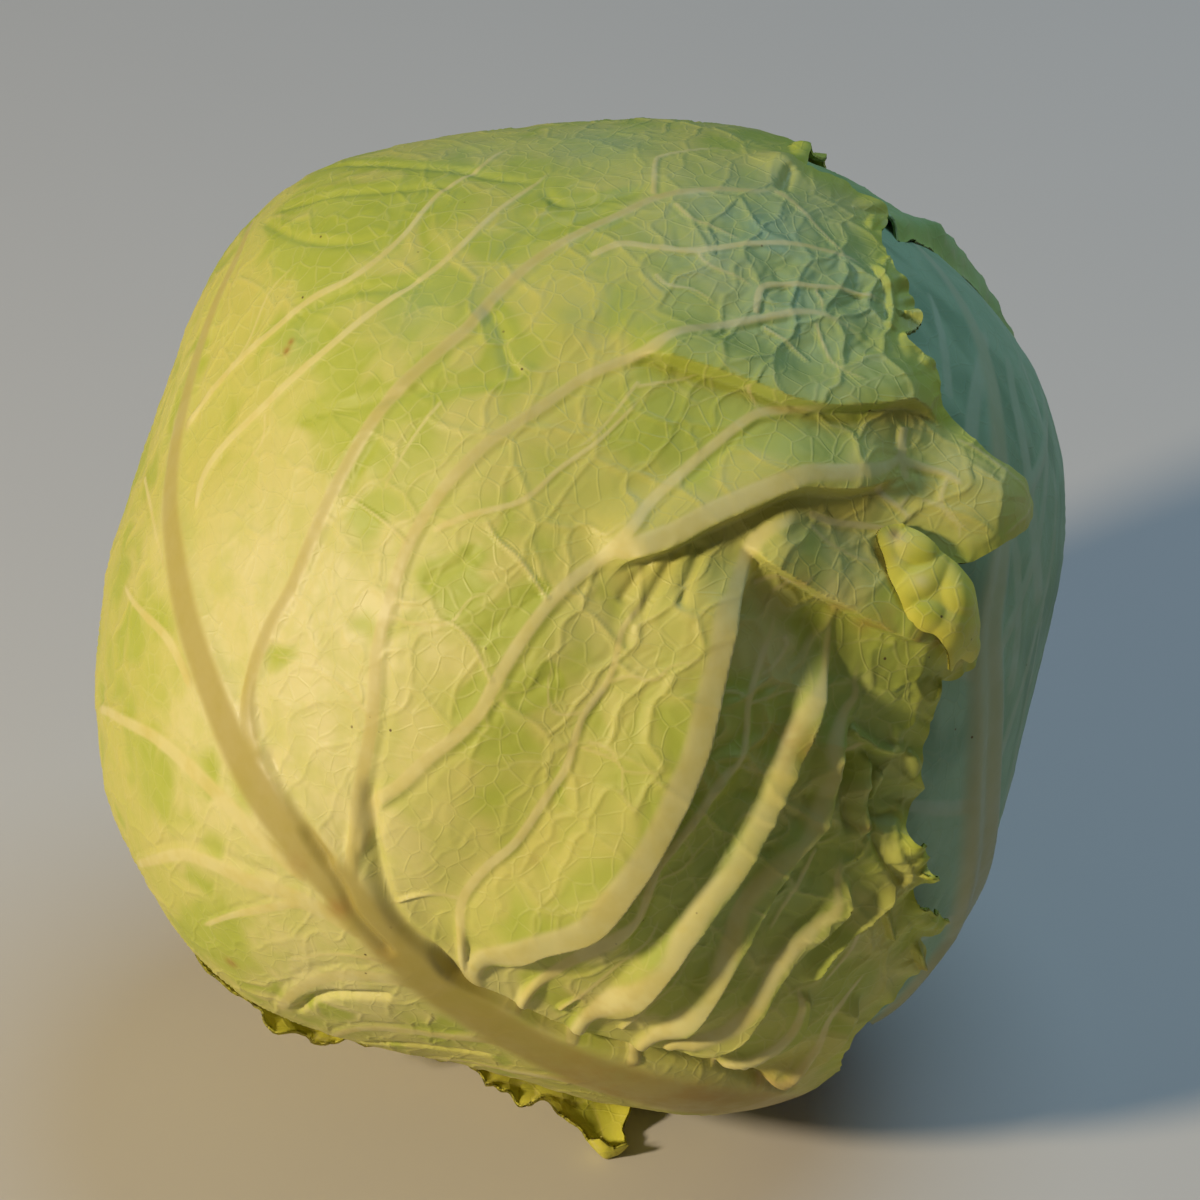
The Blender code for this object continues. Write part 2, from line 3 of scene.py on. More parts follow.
import bpy
import numpy as np
from mathutils import Matrix


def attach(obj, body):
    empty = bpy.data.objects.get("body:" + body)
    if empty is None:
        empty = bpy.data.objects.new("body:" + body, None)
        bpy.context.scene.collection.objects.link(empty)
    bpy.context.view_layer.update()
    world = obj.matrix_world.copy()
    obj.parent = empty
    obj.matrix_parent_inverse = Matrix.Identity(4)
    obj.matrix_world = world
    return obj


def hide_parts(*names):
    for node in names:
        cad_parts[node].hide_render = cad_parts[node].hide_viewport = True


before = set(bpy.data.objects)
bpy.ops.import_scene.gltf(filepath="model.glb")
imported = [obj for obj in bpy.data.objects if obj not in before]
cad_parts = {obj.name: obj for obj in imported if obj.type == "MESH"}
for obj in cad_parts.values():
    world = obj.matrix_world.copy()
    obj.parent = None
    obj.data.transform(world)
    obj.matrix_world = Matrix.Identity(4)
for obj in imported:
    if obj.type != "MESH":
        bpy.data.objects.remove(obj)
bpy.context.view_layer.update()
print("frame loaded:", ", ".join(sorted(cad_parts)))

mm = 0.001
farOff = 9.0           # larger than any gap on a leaf
tableSize = 64         # the random tables repeat after this many cells
tableStart = 512.0     # keeps places in the random tables above zero

# The head itself: real sizes in metres, and the viewpoint that the leaves are drawn from
head = {
    "width": 0.190,
    "depth": 0.095,
    "restSink": 0.0034,
    "widthPx": 967.0,
    "centrePx": (581.0, 620.0),
    "framePx": (600.0, 600.0),
    "elevation": math.radians(30.0),
    "distance": 1.05,
    "harmonics": 7,
    "rightSideTurn": math.radians(2.0),
    "rightSideWidth": 0.75,
    "rightSideRise": 5.2 * mm,
    "outlinePx": [
        (98, 710), (105, 620), (112, 540), (130, 480), (160, 410), (185, 335), (215, 280), (252, 218),
        (300, 185), (360, 160), (420, 143), (500, 126), (600, 121), (680, 123), (740, 135), (805, 155),
        (850, 175), (900, 205), (948, 240), (1000, 295), (1030, 345), (1050, 420), (1065, 500),
        (1065, 561), (1050, 644), (1035, 705), (1005, 785), (995, 850), (970, 940), (935, 990),
        (870, 1028), (800, 1070), (740, 1105), (690, 1118), (640, 1104), (600, 1090), (540, 1075),
        (480, 1065), (420, 1055), (350, 1040), (300, 1020), (240, 992), (190, 940), (150, 890),
        (125, 835), (110, 780),
    ],
}

# How far each leaf lies inside the outermost one
levels = {"under": -2.6 * mm, "front": 0.0, "back": 2.6 * mm, "right": 5.2 * mm}

pxSize = head["width"] / head["widthPx"]
toCamera = np.array([0.0, -math.cos(head["elevation"]), math.sin(head["elevation"])])
toRight = np.array([1.0, 0.0, 0.0])
toTop = np.array([0.0, math.sin(head["elevation"]), math.cos(head["elevation"])])


def unit(v):
    v = np.asarray(v, float)
    return v / np.linalg.norm(v, axis=-1, keepdims=True)


def bell(value, width):
    return np.exp(-(value / width) ** 2)


def ease(value):
    value = np.clip(value, 0.0, 1.0)
    return value * value * (3.0 - 2.0 * value)


def outlineTerms(turn):
    columns = [np.ones_like(turn)]
    for k in range(1, head["harmonics"] + 1):
        columns += [np.cos(k * turn), np.sin(k * turn)]
    return columns


def fitOutline():
    px = np.array(head["outlinePx"], float) - head["centrePx"]
    turn = np.arctan2(-px[:, 1], px[:, 0])
    radius = np.hypot(px[:, 0], px[:, 1]) * pxSize
    return np.linalg.lstsq(np.stack(outlineTerms(turn), axis=-1), radius, rcond=None)[0]


outlineFit = fitOutline()


# How far the outermost leaf stands from the middle of the head, along a direction
def headRadius(direction):
    toward = direction @ toCamera
    turn = np.arctan2(direction @ toTop, direction @ toRight)
    side = sum(share * term for share, term in zip(outlineFit, outlineTerms(turn)))
    offRight = np.angle(np.exp(1j * (turn - head["rightSideTurn"])))
    side = side + head["rightSideRise"] * bell(offRight, head["rightSideWidth"])
    flat = np.clip(1.0 - toward ** 2, 0.0, 1.0)
    return (toward ** 2 / head["depth"] ** 2 + flat / side ** 2) ** -0.5


# Direction at an angle round the view axis and an angle away from it, in degrees
def fromView(turnDegrees, awayDegrees):
    turn = np.radians(turnDegrees)[..., None]
    away = np.radians(awayDegrees)[..., None]
    return np.cos(away) * toCamera + np.sin(away) * (np.cos(turn) * toRight + np.sin(turn) * toTop)


# Spot that the camera looks at, from the middle of the head
aim = ((head["framePx"][0] - head["centrePx"][0]) * toRight
       + (head["centrePx"][1] - head["framePx"][1]) * toTop) * pxSize


# Directions from the middle of the head to where the sight lines of some pixels meet its surface,
# or one that stands off it by the rise
def pixelDirections(pixels, rise=0.0):
    px = np.array(pixels, float)
    steps = 400            # places tried along each sight line, between these shares of its length
    nearest = 0.88
    farthest = 1.06
    eye = aim + head["distance"] * toCamera
    across = (px[:, 0] - head["framePx"][0])[:, None] * toRight
    above = (head["framePx"][1] - px[:, 1])[:, None] * toTop
    sight = (across + above) * pxSize - head["distance"] * toCamera
    points = eye + np.linspace(nearest, farthest, steps)[:, None, None] * sight
    gap = np.linalg.norm(points, axis=-1) - headRadius(unit(points)) - rise
    inside = gap < 0
    column = np.arange(len(px))
    first = np.where(inside.any(axis=0), inside.argmax(axis=0), gap.argmin(axis=0))
    before = np.maximum(first - 1, 0)
    fall = np.maximum(gap[before, column] - gap[first, column], 1e-9)
    share = np.where(inside.any(axis=0), gap[before, column] / fall, 1.0)[:, None]
    return unit(points[before, column] * (1 - share) + points[first, column] * share)


# Height of the middle of the head when it rests on its flattened spot
def restHeight():
    widestTilt = 0.6
    turn = np.linspace(0, 2 * math.pi, 73)
    drop = 0.0
    for tilt in np.linspace(0, widestTilt, 61):
        around = np.stack([np.sin(tilt) * np.cos(turn), np.sin(tilt) * np.sin(turn),
                           -np.cos(tilt) * np.ones_like(turn)], axis=-1)
        reach = (headRadius(around) - levels["under"]) * math.cos(tilt)
        drop = max(drop, float(reach.max()))
    return drop - head["restSink"]


centre = np.array([0.0, 0.0, restHeight()])

# Cut stem: where it is, and how far the leaf stalks stand off it
stemLook = {
    "turn": 297.0,
    "away": 106.0,
    "radius": 15 * mm,
    "stalkGap": 3.0 * mm,
    "stalkHalfWidth": 11 * mm,
    "midribInset": 2 * mm,
}
stemWay = fromView(np.array(stemLook["turn"]), np.array(stemLook["away"]))


# Even points along a smooth curve through the given ones
def smoothLine(points, step, closed=False):
    p = np.array(points, float)
    p = np.vstack([p[-1:], p, p[:2]]) if closed else np.vstack([2 * p[0] - p[1], p, 2 * p[-1] - p[-2]])
    t = np.linspace(0, 1, 12, endpoint=False)[:, None]
    curve = []
    for a, b, c, d in zip(p[:-3], p[1:-2], p[2:-1], p[3:]):
        bend = 2 * b + (c - a) * t + (2 * a - 5 * b + 4 * c - d) * t ** 2
        curve.append(0.5 * (bend + (3 * b - a - 3 * c + d) * t ** 3))
    curve = np.vstack(curve + [p[-2:-1]])
    along = np.concatenate([[0], np.cumsum(np.linalg.norm(np.diff(curve, axis=0), axis=1))])
    even = np.linspace(0, along[-1], max(2, int(round(along[-1] / step)) + 1))
    line = np.stack([np.interp(even, along, curve[:, 0]), np.interp(even, along, curve[:, 1])], axis=-1)
    return line[:-1] if closed else line


# Cell and place inside it of each point, on a random table with cells of one size
def tableCells(x, y, size):
    u = x / size + tableStart
    v = y / size + tableStart
    return u, v, np.floor(u).astype(int), np.floor(v).astype(int)


def fromTable(table, i, j):
    return table[j % tableSize, i % tableSize]


# Smooth noise from -1 to 1, with one bump in each size
def clouds(x, y, size, seed):
    table = np.random.default_rng(seed).uniform(-1, 1, (tableSize, tableSize))
    u, v, i, j = tableCells(x, y, size)
    s = ease(u - i)
    t = ease(v - j)
    low = fromTable(table, i, j) * (1 - s) + fromTable(table, i + 1, j) * s
    high = fromTable(table, i, j + 1) * (1 - s) + fromTable(table, i + 1, j + 1) * s
    return low * (1 - t) + high * t


# Net of uneven cells: distance to the nearest wall, and a number from 0 to 1 for each cell
def cellNet(x, y, size, seed):
    rng = np.random.default_rng(seed)
    jitter = rng.uniform(0.12, 0.88, (tableSize, tableSize, 2))
    tone = rng.uniform(0, 1, (tableSize, tableSize))
    u, v, i, j = tableCells(x, y, size)
    best = np.full(u.shape, farOff)
    cellI = i.copy()
    cellJ = j.copy()
    for dj in (-1, 0, 1):
        for di in (-1, 0, 1):
            spot = fromTable(jitter, i + di, j + dj)
            gap = (i + di + spot[..., 0] - u) ** 2 + (j + dj + spot[..., 1] - v) ** 2
            near = gap < best
            best = np.where(near, gap, best)
            cellI = np.where(near, i + di, cellI)
            cellJ = np.where(near, j + dj, cellJ)
    home = fromTable(jitter, cellI, cellJ)
    homeX = cellI + home[..., 0] - u
    homeY = cellJ + home[..., 1] - v
    wall = np.full(u.shape, farOff)
    for dj in (-2, -1, 0, 1, 2):
        for di in (-2, -1, 0, 1, 2):
            if di == 0 and dj == 0:
                continue
            spot = fromTable(jitter, cellI + di, cellJ + dj)
            otherX = cellI + di + spot[..., 0] - u
            otherY = cellJ + dj + spot[..., 1] - v
            apart = np.hypot(otherX - homeX, otherY - homeY)
            middle = 0.5 * ((homeX + otherX) * (otherX - homeX) + (homeY + otherY) * (otherY - homeY))
            wall = np.minimum(wall, middle / apart)
    return wall * size, fromTable(tone, cellI, cellJ)


# Drawing board laid flat on the head, with the grid of points that a leaf is woven from
class Board:
    def __init__(self, middle, spans):
        self.middle = unit(middle)
        self.up = unit(toTop - (toTop @ self.middle) * self.middle)
        self.right = np.cross(self.up, self.middle)
        self.xs = evenRuns(spans["x"])
        self.ys = evenRuns(spans["y"])
        self.x, self.y = np.meshgrid(self.xs, self.ys)
        stepX, stepY = np.meshgrid(np.gradient(self.xs), np.gradient(self.ys))
        self.step = np.maximum(stepX, stepY)

    def draw(self, directions):
        away = np.arccos(np.clip(directions @ self.middle, -1, 1))
        turn = np.arctan2(directions @ self.up, directions @ self.right)
        return (away * head["depth"])[..., None] * np.stack([np.cos(turn), np.sin(turn)], axis=-1)

    def fromPx(self, pixels, rise=0.0):
        return self.draw(pixelDirections(pixels, rise))

    # Where each point of the board shows in the photograph, in pixels
    def toPx(self, rise):
        direction = self.wrap(self.x, self.y)
        point = direction * (headRadius(direction) + rise)[..., None] - aim
        scale = head["distance"] / (head["distance"] - point @ toCamera) / pxSize
        return head["framePx"][0] + point @ toRight * scale, head["framePx"][1] - point @ toTop * scale

    def fromTurns(self, angles):
        pairs = np.array(angles, float)
        return self.draw(fromView(pairs[:, 0], pairs[:, 1]))

    def wrap(self, x, y):
        length = np.maximum(np.hypot(x, y), 1e-9)
        away = length / head["depth"]
        planar = (x / length)[..., None] * self.right + (y / length)[..., None] * self.up
        return np.cos(away)[..., None] * self.middle + np.sin(away)[..., None] * planar


# Grid lines from a start and a list of (end, step), all in mm
def evenRuns(spans):
    start, runs = spans
    lines = [start]
    for end, step in runs:
        count = max(1, int(round((end - lines[-1]) / step)))
        lines += list(np.linspace(lines[-1], end, count + 1)[1:])
    return np.array(lines) * mm


# How every point of a board lies to a line: its gap, its place along it from 0 to 1, the side it is on
# (1 for left), the way to the left there, and its offset from the line
def lineField(board, line, reach):
    field = {key: np.zeros(board.x.shape) for key in ("along", "leftX", "leftY", "offX", "offY")}
    field["gap"] = np.full(board.x.shape, farOff)
    field["side"] = np.ones(board.x.shape)
    runs = np.linalg.norm(np.diff(line, axis=0), axis=1)
    starts = np.concatenate([[0.0], np.cumsum(runs)])
    bend = np.gradient(line, axis=0)
    left = unit(np.stack([-bend[:, 1], bend[:, 0]], axis=-1) + 1e-12)
    for i, (a, b) in enumerate(zip(line[:-1], line[1:])):
        x0, x1 = np.searchsorted(board.xs, [min(a[0], b[0]) - reach, max(a[0], b[0]) + reach])
        y0, y1 = np.searchsorted(board.ys, [min(a[1], b[1]) - reach, max(a[1], b[1]) + reach])
        if x0 == x1 or y0 == y1 or runs[i] < 1e-9:
            continue
        box = (slice(y0, y1), slice(x0, x1))
        relX = board.x[box] - a[0]
        relY = board.y[box] - a[1]
        spanX, spanY = b - a
        t = np.clip((relX * spanX + relY * spanY) / runs[i] ** 2, 0, 1)
        found = {"offX": relX - t * spanX, "offY": relY - t * spanY}
        found["gap"] = np.hypot(found["offX"], found["offY"])
        found["along"] = (starts[i] + t * runs[i]) / starts[-1]
        found["side"] = np.sign(spanX * found["offY"] - spanY * found["offX"])
        found["leftX"] = left[i, 0] * (1 - t) + left[i + 1, 0] * t
        found["leftY"] = left[i, 1] * (1 - t) + left[i + 1, 1] * t
        near = found["gap"] < field["gap"][box]
        for key, value in found.items():
            field[key][box] = np.where(near, value, field[key][box])
    field["length"] = starts[-1]
    return field


# Which points of a board are inside a closed outline
def insideOutline(board, rim):
    inside = np.zeros(board.x.shape, bool)
    a = rim[:-1]
    b = rim[1:]
    for row, y in enumerate(board.ys):
        cuts = (a[:, 1] > y) != (b[:, 1] > y)
        hits = a[cuts, 0] + (y - a[cuts, 1]) * (b[cuts, 0] - a[cuts, 0]) / (b[cuts, 1] - a[cuts, 1])
        inside[row] = np.searchsorted(np.sort(hits), board.xs) % 2 == 1
    return inside


# Cuts a leaf out of its board: the squares kept, with their outer corners drawn on to the outline
def cutOut(board, outline):
    rim = np.vstack([outline, outline[:1]])
    reach = 16 * mm
    field = lineField(board, rim, reach)
    inside = insideOutline(board, rim)
    kept = np.where(inside, 1.0, -1.0) * field["gap"] > -0.5 * board.step
    squares = kept[:-1, :-1] & kept[1:, :-1] & kept[:-1, 1:] & kept[1:, 1:]
    around = np.zeros(board.x.shape, int)
    around[:-1, :-1] += squares
    around[1:, :-1] += squares
    around[:-1, 1:] += squares
    around[1:, 1:] += squares
    snap = (around > 0) & (around < 4) & (field["gap"] < 1.5 * board.step)
    board.x = np.where(snap, board.x - field["offX"], board.x)
    board.y = np.where(snap, board.y - field["offY"], board.y)
    edge = lineField(board, rim, reach)
    edge["in"] = np.where(snap, 0.0, np.where(inside, 1.0, -1.0) * edge["gap"])
    return squares, edge


# The larger of two heights, with the crease between them rounded
def softMax(a, b, blend):
    return 0.5 * (a + b + np.sqrt((a - b) ** 2 + blend ** 2) - blend)


# Adds soft round spots, each a place, a radius and an amount, to what is there already
def addSpots(start, x, y, spots):
    total = np.zeros(np.shape(x)) + start
    for spot, radius, amount in spots:
        total = total + amount * bell(np.hypot(x - spot[0], y - spot[1]), radius)
    return total


# Takes a share of what is there away in soft round spots
def dimSpots(start, x, y, spots):
    left = start
    for spot, radius, share in spots:
        left = left * (1 - share * bell(np.hypot(x - spot[0], y - spot[1]), radius))
    return left


# Places on a board that show at some pixels once the swells are there
def onSwells(board, pixels, swells, level):
    rise = np.zeros(len(pixels)) - level
    for _ in range(5):
        spots = board.fromPx(pixels, rise)
        rise = 0.5 * (rise + addSpots(0.0, spots[:, 0], spots[:, 1], swells) - level)
    return spots


# Rounded blisters side by side, drawn in pixels, with sharp creases where they meet
def domeRise(pxX, pxY, domes):
    crown = 0.7            # below 1 is flatter on top and steeper at the foot
    creaseWidth = 0.3 * mm
    rise = np.zeros(pxX.shape)
    for spot, (long, short, turn), height in domes:
        cos = math.cos(math.radians(turn))
        sin = math.sin(math.radians(turn))
        u = ((pxX - spot[0]) * cos + (pxY - spot[1]) * sin) / long
        v = ((pxY - spot[1]) * cos - (pxX - spot[0]) * sin) / short
        rise = softMax(rise, height * mm * np.clip(1 - u ** 2 - v ** 2, 0, 1) ** crown, creaseWidth)
    return rise


# Share that is 0 at both ends of a line and 1 between them
def endFade(along, rootShare, tipShare):
    return ease(along / rootShare) * ease((1 - along) / tipShare)


# Pleats that lean over: their height, and how far they push the leaf sideways
def foldRelief(board, folds):
    endShare = 0.16
    crest = 0.3 * mm
    crestWidth = 1.3 * mm
    fold = np.zeros(board.x.shape)
    slipX = np.zeros(board.x.shape)
    slipY = np.zeros(board.x.shape)
    for height, leftFall, rightFall, lean, line in folds:
        f = lineField(board, smoothLine(line, 0.8 * mm), max(leftFall, rightFall, 6.0) * mm)
        fall = np.where(f["side"] > 0, leftFall, rightFall) * mm
        ends = endFade(f["along"], endShare, endShare)
        fold = np.maximum(fold, height * mm * ends * (1 - ease(f["gap"] / fall)))
        push = lean * mm * ends * bell(f["gap"] * f["side"] - crest, crestWidth)
        slipX -= push * f["leftX"]
        slipY -= push * f["leftY"]
    return fold, slipX, slipY


# Sinks grooves or creases into the lift, and returns how creased the leaf is beside them, a mask that paints
# the shade in the crease as darker green
def sinkLines(board, lift, rows, endShare, reach):
    creaseShade = np.zeros(board.x.shape)
    for depth, width, line in rows:
        f = lineField(board, smoothLine(line, 1.5 * mm), reach * width * mm)
        ends = endFade(f["along"], endShare, endShare)
        lift -= depth * mm * ends * bell(f["gap"], width * mm)
        creaseShade = np.maximum(creaseShade, ends * bell(f["gap"], 2.0 * width * mm))
    return creaseShade


# Profile of the ribs, in half widths of the rib, and how fully they take the vein's colour
ribShape = {
    "reach": 3.2,
    "midribCore": 0.92,
    "midribFoot": 1.04,
    "ribCore": 0.85,
    "ribFoot": 1.05,
    "rootTaper": 0.05,
    "tipTaper": 0.14,
    "tipWidth": 0.55,
    "blend": 0.20 * mm,
    "skirtWidth": 2.4,
    "footPlace": 1.5,
    "footWidth": 0.7,
    "litFoot": 0.25,
    "shadedFoot": 1.6,
    "thinTint": 0.60,
    "thinWidth": 1.6,
    "fullWidth": 3.6,
}


# Ribs: the first one in a leaf's list is its midrib. "rib" is the raised part, "skirt" the rise and "foot"
# the dip beside it; "vein", "spine" and "spineTone" say where the colours of ribs and midrib go
def ribRelief(board, look):
    shape = ribShape
    made = {key: np.zeros(board.x.shape) for key in ("rib", "skirt", "foot", "vein", "spine", "spineTone")}
    for order, (widths, heights, line) in enumerate(look["ribs"]):
        f = lineField(board, smoothLine(line, 1.0 * mm), shape["reach"] * max(widths) * mm)
        along = f["along"]
        half = 0.5 * mm * np.interp(along, np.linspace(0, 1, len(widths)), widths)
        height = mm * np.interp(along, np.linspace(0, 1, len(heights)), heights)
        if order == 0:
            share = f["gap"] / half
            spine = np.exp(-(share / shape["midribCore"]) ** 6)
            tones = look.get("spineTone", (1, 1, 1, 1))
            made["spine"] = spine
            made["spineTone"] = spine * np.interp(along, (0, 0.3, 0.6, 1), tones)
            made["rib"] = height * np.clip(1 - (share / shape["midribFoot"]) ** 2.4, 0, 1) ** 0.75
            for ridge, width, rise in look.get("ridges", []):
                r = lineField(board, ridge, 3 * width * mm)
                made["rib"] = made["rib"] + rise * mm * spine * bell(r["gap"], 0.5 * width * mm)
            taper = np.ones(board.x.shape)
        else:
            taper = endFade(along, shape["rootTaper"], shape["tipTaper"])
            half = half * look.get("ribWidth", 1.0) * (shape["tipWidth"] + (1 - shape["tipWidth"]) * taper)
            height = height * look.get("ribScale", 1.0) * taper
            share = f["gap"] / half
            raised = height * np.clip(1 - (share / shape["ribFoot"]) ** 2, 0, 1) ** 0.8
            made["rib"] = softMax(made["rib"], raised, shape["blend"])
            if order in look.get("oliveRibs", {}):
                olive = look["oliveRibs"][order] * taper * (1 - 0.75 * along)
                tone = olive * np.exp(-(share / shape["ribCore"]) ** 3)
                made["spineTone"] = np.maximum(made["spineTone"], tone)
        rise = look["ribSkirt"] * height * bell(share, shape["skirtWidth"])
        made["skirt"] = np.maximum(made["skirt"], rise)
        deep = np.where(f["side"] > 0, shape["litFoot"], shape["shadedFoot"])
        dip = bell(share - shape["footPlace"], shape["footWidth"])
        made["foot"] = np.maximum(made["foot"], look.get("ribFoot", 0.0) * deep * height * dip)
        strength = taper * (0.75 + 0.25 * ease(1.4 - 1.4 * along))
        widest = ease((max(widths) - shape["thinWidth"]) / (shape["fullWidth"] - shape["thinWidth"]))
        strength = strength * (shape["thinTint"] + (1 - shape["thinTint"]) * widest)
        made["vein"] = np.maximum(made["vein"], strength * np.exp(-(share / shape["ribCore"]) ** 3))
    # Painted shade: the veins' pale tint is dimmed on spots where the ribs lie in shade
    made["vein"] = dimSpots(made["vein"], board.x, board.y, look["veinShade"])
    return made


# Net of small veins with pillows between them: its height in mm, and what the colours take from it
def netRelief(board, look):
    x = board.x
    y = board.y
    net = look["net"]
    width = net["width"] * mm
    bendSize = 5 * mm
    warpSize = 14 * mm
    unevenSize = 16 * mm
    bend = 0.45 * clouds(x, y, bendSize, 14)
    warpX = x + net["warp"] * mm * (clouds(x, y, warpSize, 11) + bend)
    warpY = y + net["warp"] * mm * (clouds(x, y, warpSize, 12) - bend)
    stretch = net.get("stretch", (1.0, 1.0, 0.0))
    turn = math.radians(stretch[2])
    alongX = (warpX * math.cos(turn) + warpY * math.sin(turn)) / stretch[0]
    alongY = (warpY * math.cos(turn) - warpX * math.sin(turn)) / stretch[1]
    wall, tone = cellNet(alongX, alongY, net["size"] * mm, net["seed"])
    fineWall, _ = cellNet(alongX, alongY, net["fineSize"] * mm, net["seed"] + 1)
    quilt = addSpots(look["quilt"], x, y, look["quiltSpots"])
    strong = np.clip(1 + net["unevenness"] * clouds(x, y, unevenSize, 13), 0, 2)
    coarse = (net["height"] * strong + net["quiltShare"] * quilt) * bell(wall, width)
    fine = net["fineHeight"] * bell(fineWall, 0.7 * net["width"] * mm)
    pit = 1 - bell(wall, 0.30 * net["size"] * mm)
    pit *= 0.45 + 1.1 * tone
    finePit = 1 - bell(fineWall, 0.32 * net["fineSize"] * mm)
    thin = look["netTint"] * bell(wall, 0.8 * net["width"] * mm) * np.clip(strong, 0.3, 1.5)
    return {"rise": coarse + fine - quilt * (pit + 0.30 * finePit), "pit": pit, "tone": tone,
            "quilt": quilt, "thin": thin}


# Waves of a ruffled margin: length in mm, share of the height, start in radians
ruffleWaves = ((17.0, 0.60, 0.3), (9.5, 0.42, 1.7), (5.4, 0.22, 0.9))


# Adds the ruffled margin to the lift and the slips
def addRuffle(board, edge, ruffle, lift, slipX, slipY):
    amount = addSpots(ruffle["height"], board.x, board.y, ruffle["spots"])
    amount = dimSpots(amount, board.x, board.y, ruffle["calm"])
    s = edge["along"] * edge["length"]
    inward = np.clip(edge["in"], 0, None)
    phaseSize = 15 * mm
    unevenSize = 19 * mm
    phase = 3.4 * clouds(s, 0 * s, phaseSize, 21)
    uneven = 0.35 + 1.1 * np.abs(clouds(s, 0 * s, unevenSize, 22))
    longest = ruffleWaves[0][0]
    out = np.zeros(board.x.shape)
    for length, share, turnPhase in ruffleWaves:
        near = np.clip(1 - inward / (ruffle["reach"] * mm * (length / longest) ** 0.7), 0, 1) ** 1.5
        swing = 2 * math.pi * s / (length * mm) + phase + turnPhase
        lift += amount * uneven * mm * near * share * (np.sin(swing) + ruffle["bias"])
        out += amount * uneven * mm * near * share * 0.8 * np.cos(swing + 0.6)
    slipX += out * edge["outX"]
    slipY += out * edge["outY"]


# The two maps that the finish reads. leafMap: vein, green, margin, pit. toneMap: midrib, cream, cool, stain.
# Green also carries painted shade and painted light, margin a painted glow of light through the edge, cream
# some painted light, cool the leaf's bloom and painted sky-lit shade, stain some painted shade at the
# midrib's foot
def leafMaps(board, edge, look, ribs, net, creaseShade):
    x = board.x
    y = board.y
    patchSize = 19 * mm
    blotchSize = 7 * mm
    bandSize = 9 * mm
    # Greener patches; darker green beside creases and on the lower right spots is painted shade, and some
    # spots below 0 make the blade paler as painted light
    greenShadeAndLightSpots = addSpots(0.85 * creaseShade, x, y, look["greenShadeAndLight"])
    green = 0.5 + 0.30 * clouds(x, y, patchSize, 31) + 0.24 * clouds(x, y, blotchSize, 32) + greenShadeAndLightSpots
    green += 0.30 * (net["pit"] * (0.3 + net["tone"]) - 0.45)
    # Bluish green: the leaf's own bloom, and painted sky-lit shade on the top and in the shaded lower right
    bloomAndSkyShade = addSpots(0.0, x, y, look["bloomAndSkyShade"])
    # Cream: the leaf's paler blade, and on some spots painted light that brightens shaded parts
    creamAndLight = addSpots(0.0, x, y, look["creamAndLight"])
    s = edge["along"] * edge["length"]
    # Margin band: its yellow-green is a painted glow of light shining through the thin edge
    edgeBand = look["edgeBand"] * mm * (1 + 0.4 * clouds(s, 0 * s, bandSize, 33))
    edgeGlow = (1 - 0.7 * np.clip(bloomAndSkyShade, 0, 1)) * bell(np.clip(edge["in"], 0, None), edgeBand)
    # Brown stains, and painted shade darkening the midrib's foot towards the stalk
    stainAndShade = np.zeros(x.shape)
    for spot in look["stainAndShade"]:
        stainAndShade = np.maximum(stainAndShade, addSpots(0.0, x, y, [spot]))
    tint = np.maximum(ribs["vein"], np.minimum(net["thin"], 0.8))
    pit = np.clip(net["pit"] * net["quilt"], 0, 1)
    tones = [ribs["spineTone"], np.clip(creamAndLight, 0, 1), np.clip(bloomAndSkyShade, 0, 1), stainAndShade]
    return {"leafMap": np.stack([tint, np.clip(green, 0, 1), edgeGlow, pit], axis=-1),
            "toneMap": np.stack(tones, axis=-1)}


# Everything that lifts, dents and shifts a leaf, and the maps that its colours follow
def leafRelief(board, edge, look):
    x = board.x
    y = board.y
    domeFoot = 0.6 * mm    # a dome this high has lost all of the net
    tuckWidth = 2.4 * mm
    lift = addSpots(0.0, x, y, look["swells"])
    dome = np.zeros(x.shape)
    if look.get("domesPx"):
        dome = domeRise(*board.toPx(lift - look["level"]), look["domesPx"])
    fold, slipX, slipY = foldRelief(board, look["folds"])
    sinkLines(board, lift, look["grooves"], endShare=0.12, reach=3)
    creaseShade = sinkLines(board, lift, look["creases"], endShare=0.2, reach=5)
    ribs = ribRelief(board, look)
    net = netRelief(board, look)
    onBlade = 1 - np.maximum(ribs["vein"], ribs["spine"])
    netShare = (1 - 0.9 * np.maximum(ribs["vein"], ribs["spine"])) * (1 - ease(dome / domeFoot))
    lift += fold + ribs["rib"] + ribs["skirt"] + dome - ribs["foot"] * onBlade
    lift -= look.get("tuck", 0.0) * mm * bell(np.clip(edge["in"], 0, None), tuckWidth)
    lift += netShare * mm * net["rise"]
    for size, height, seed in look["waves"]:
        lift += height * mm * (1 - 0.8 * ribs["spine"]) * clouds(x, y, size * mm, seed)
    addRuffle(board, edge, look["ruffle"], lift, slipX, slipY)
    return lift, slipX, slipY, leafMaps(board, edge, look, ribs, net, creaseShade)


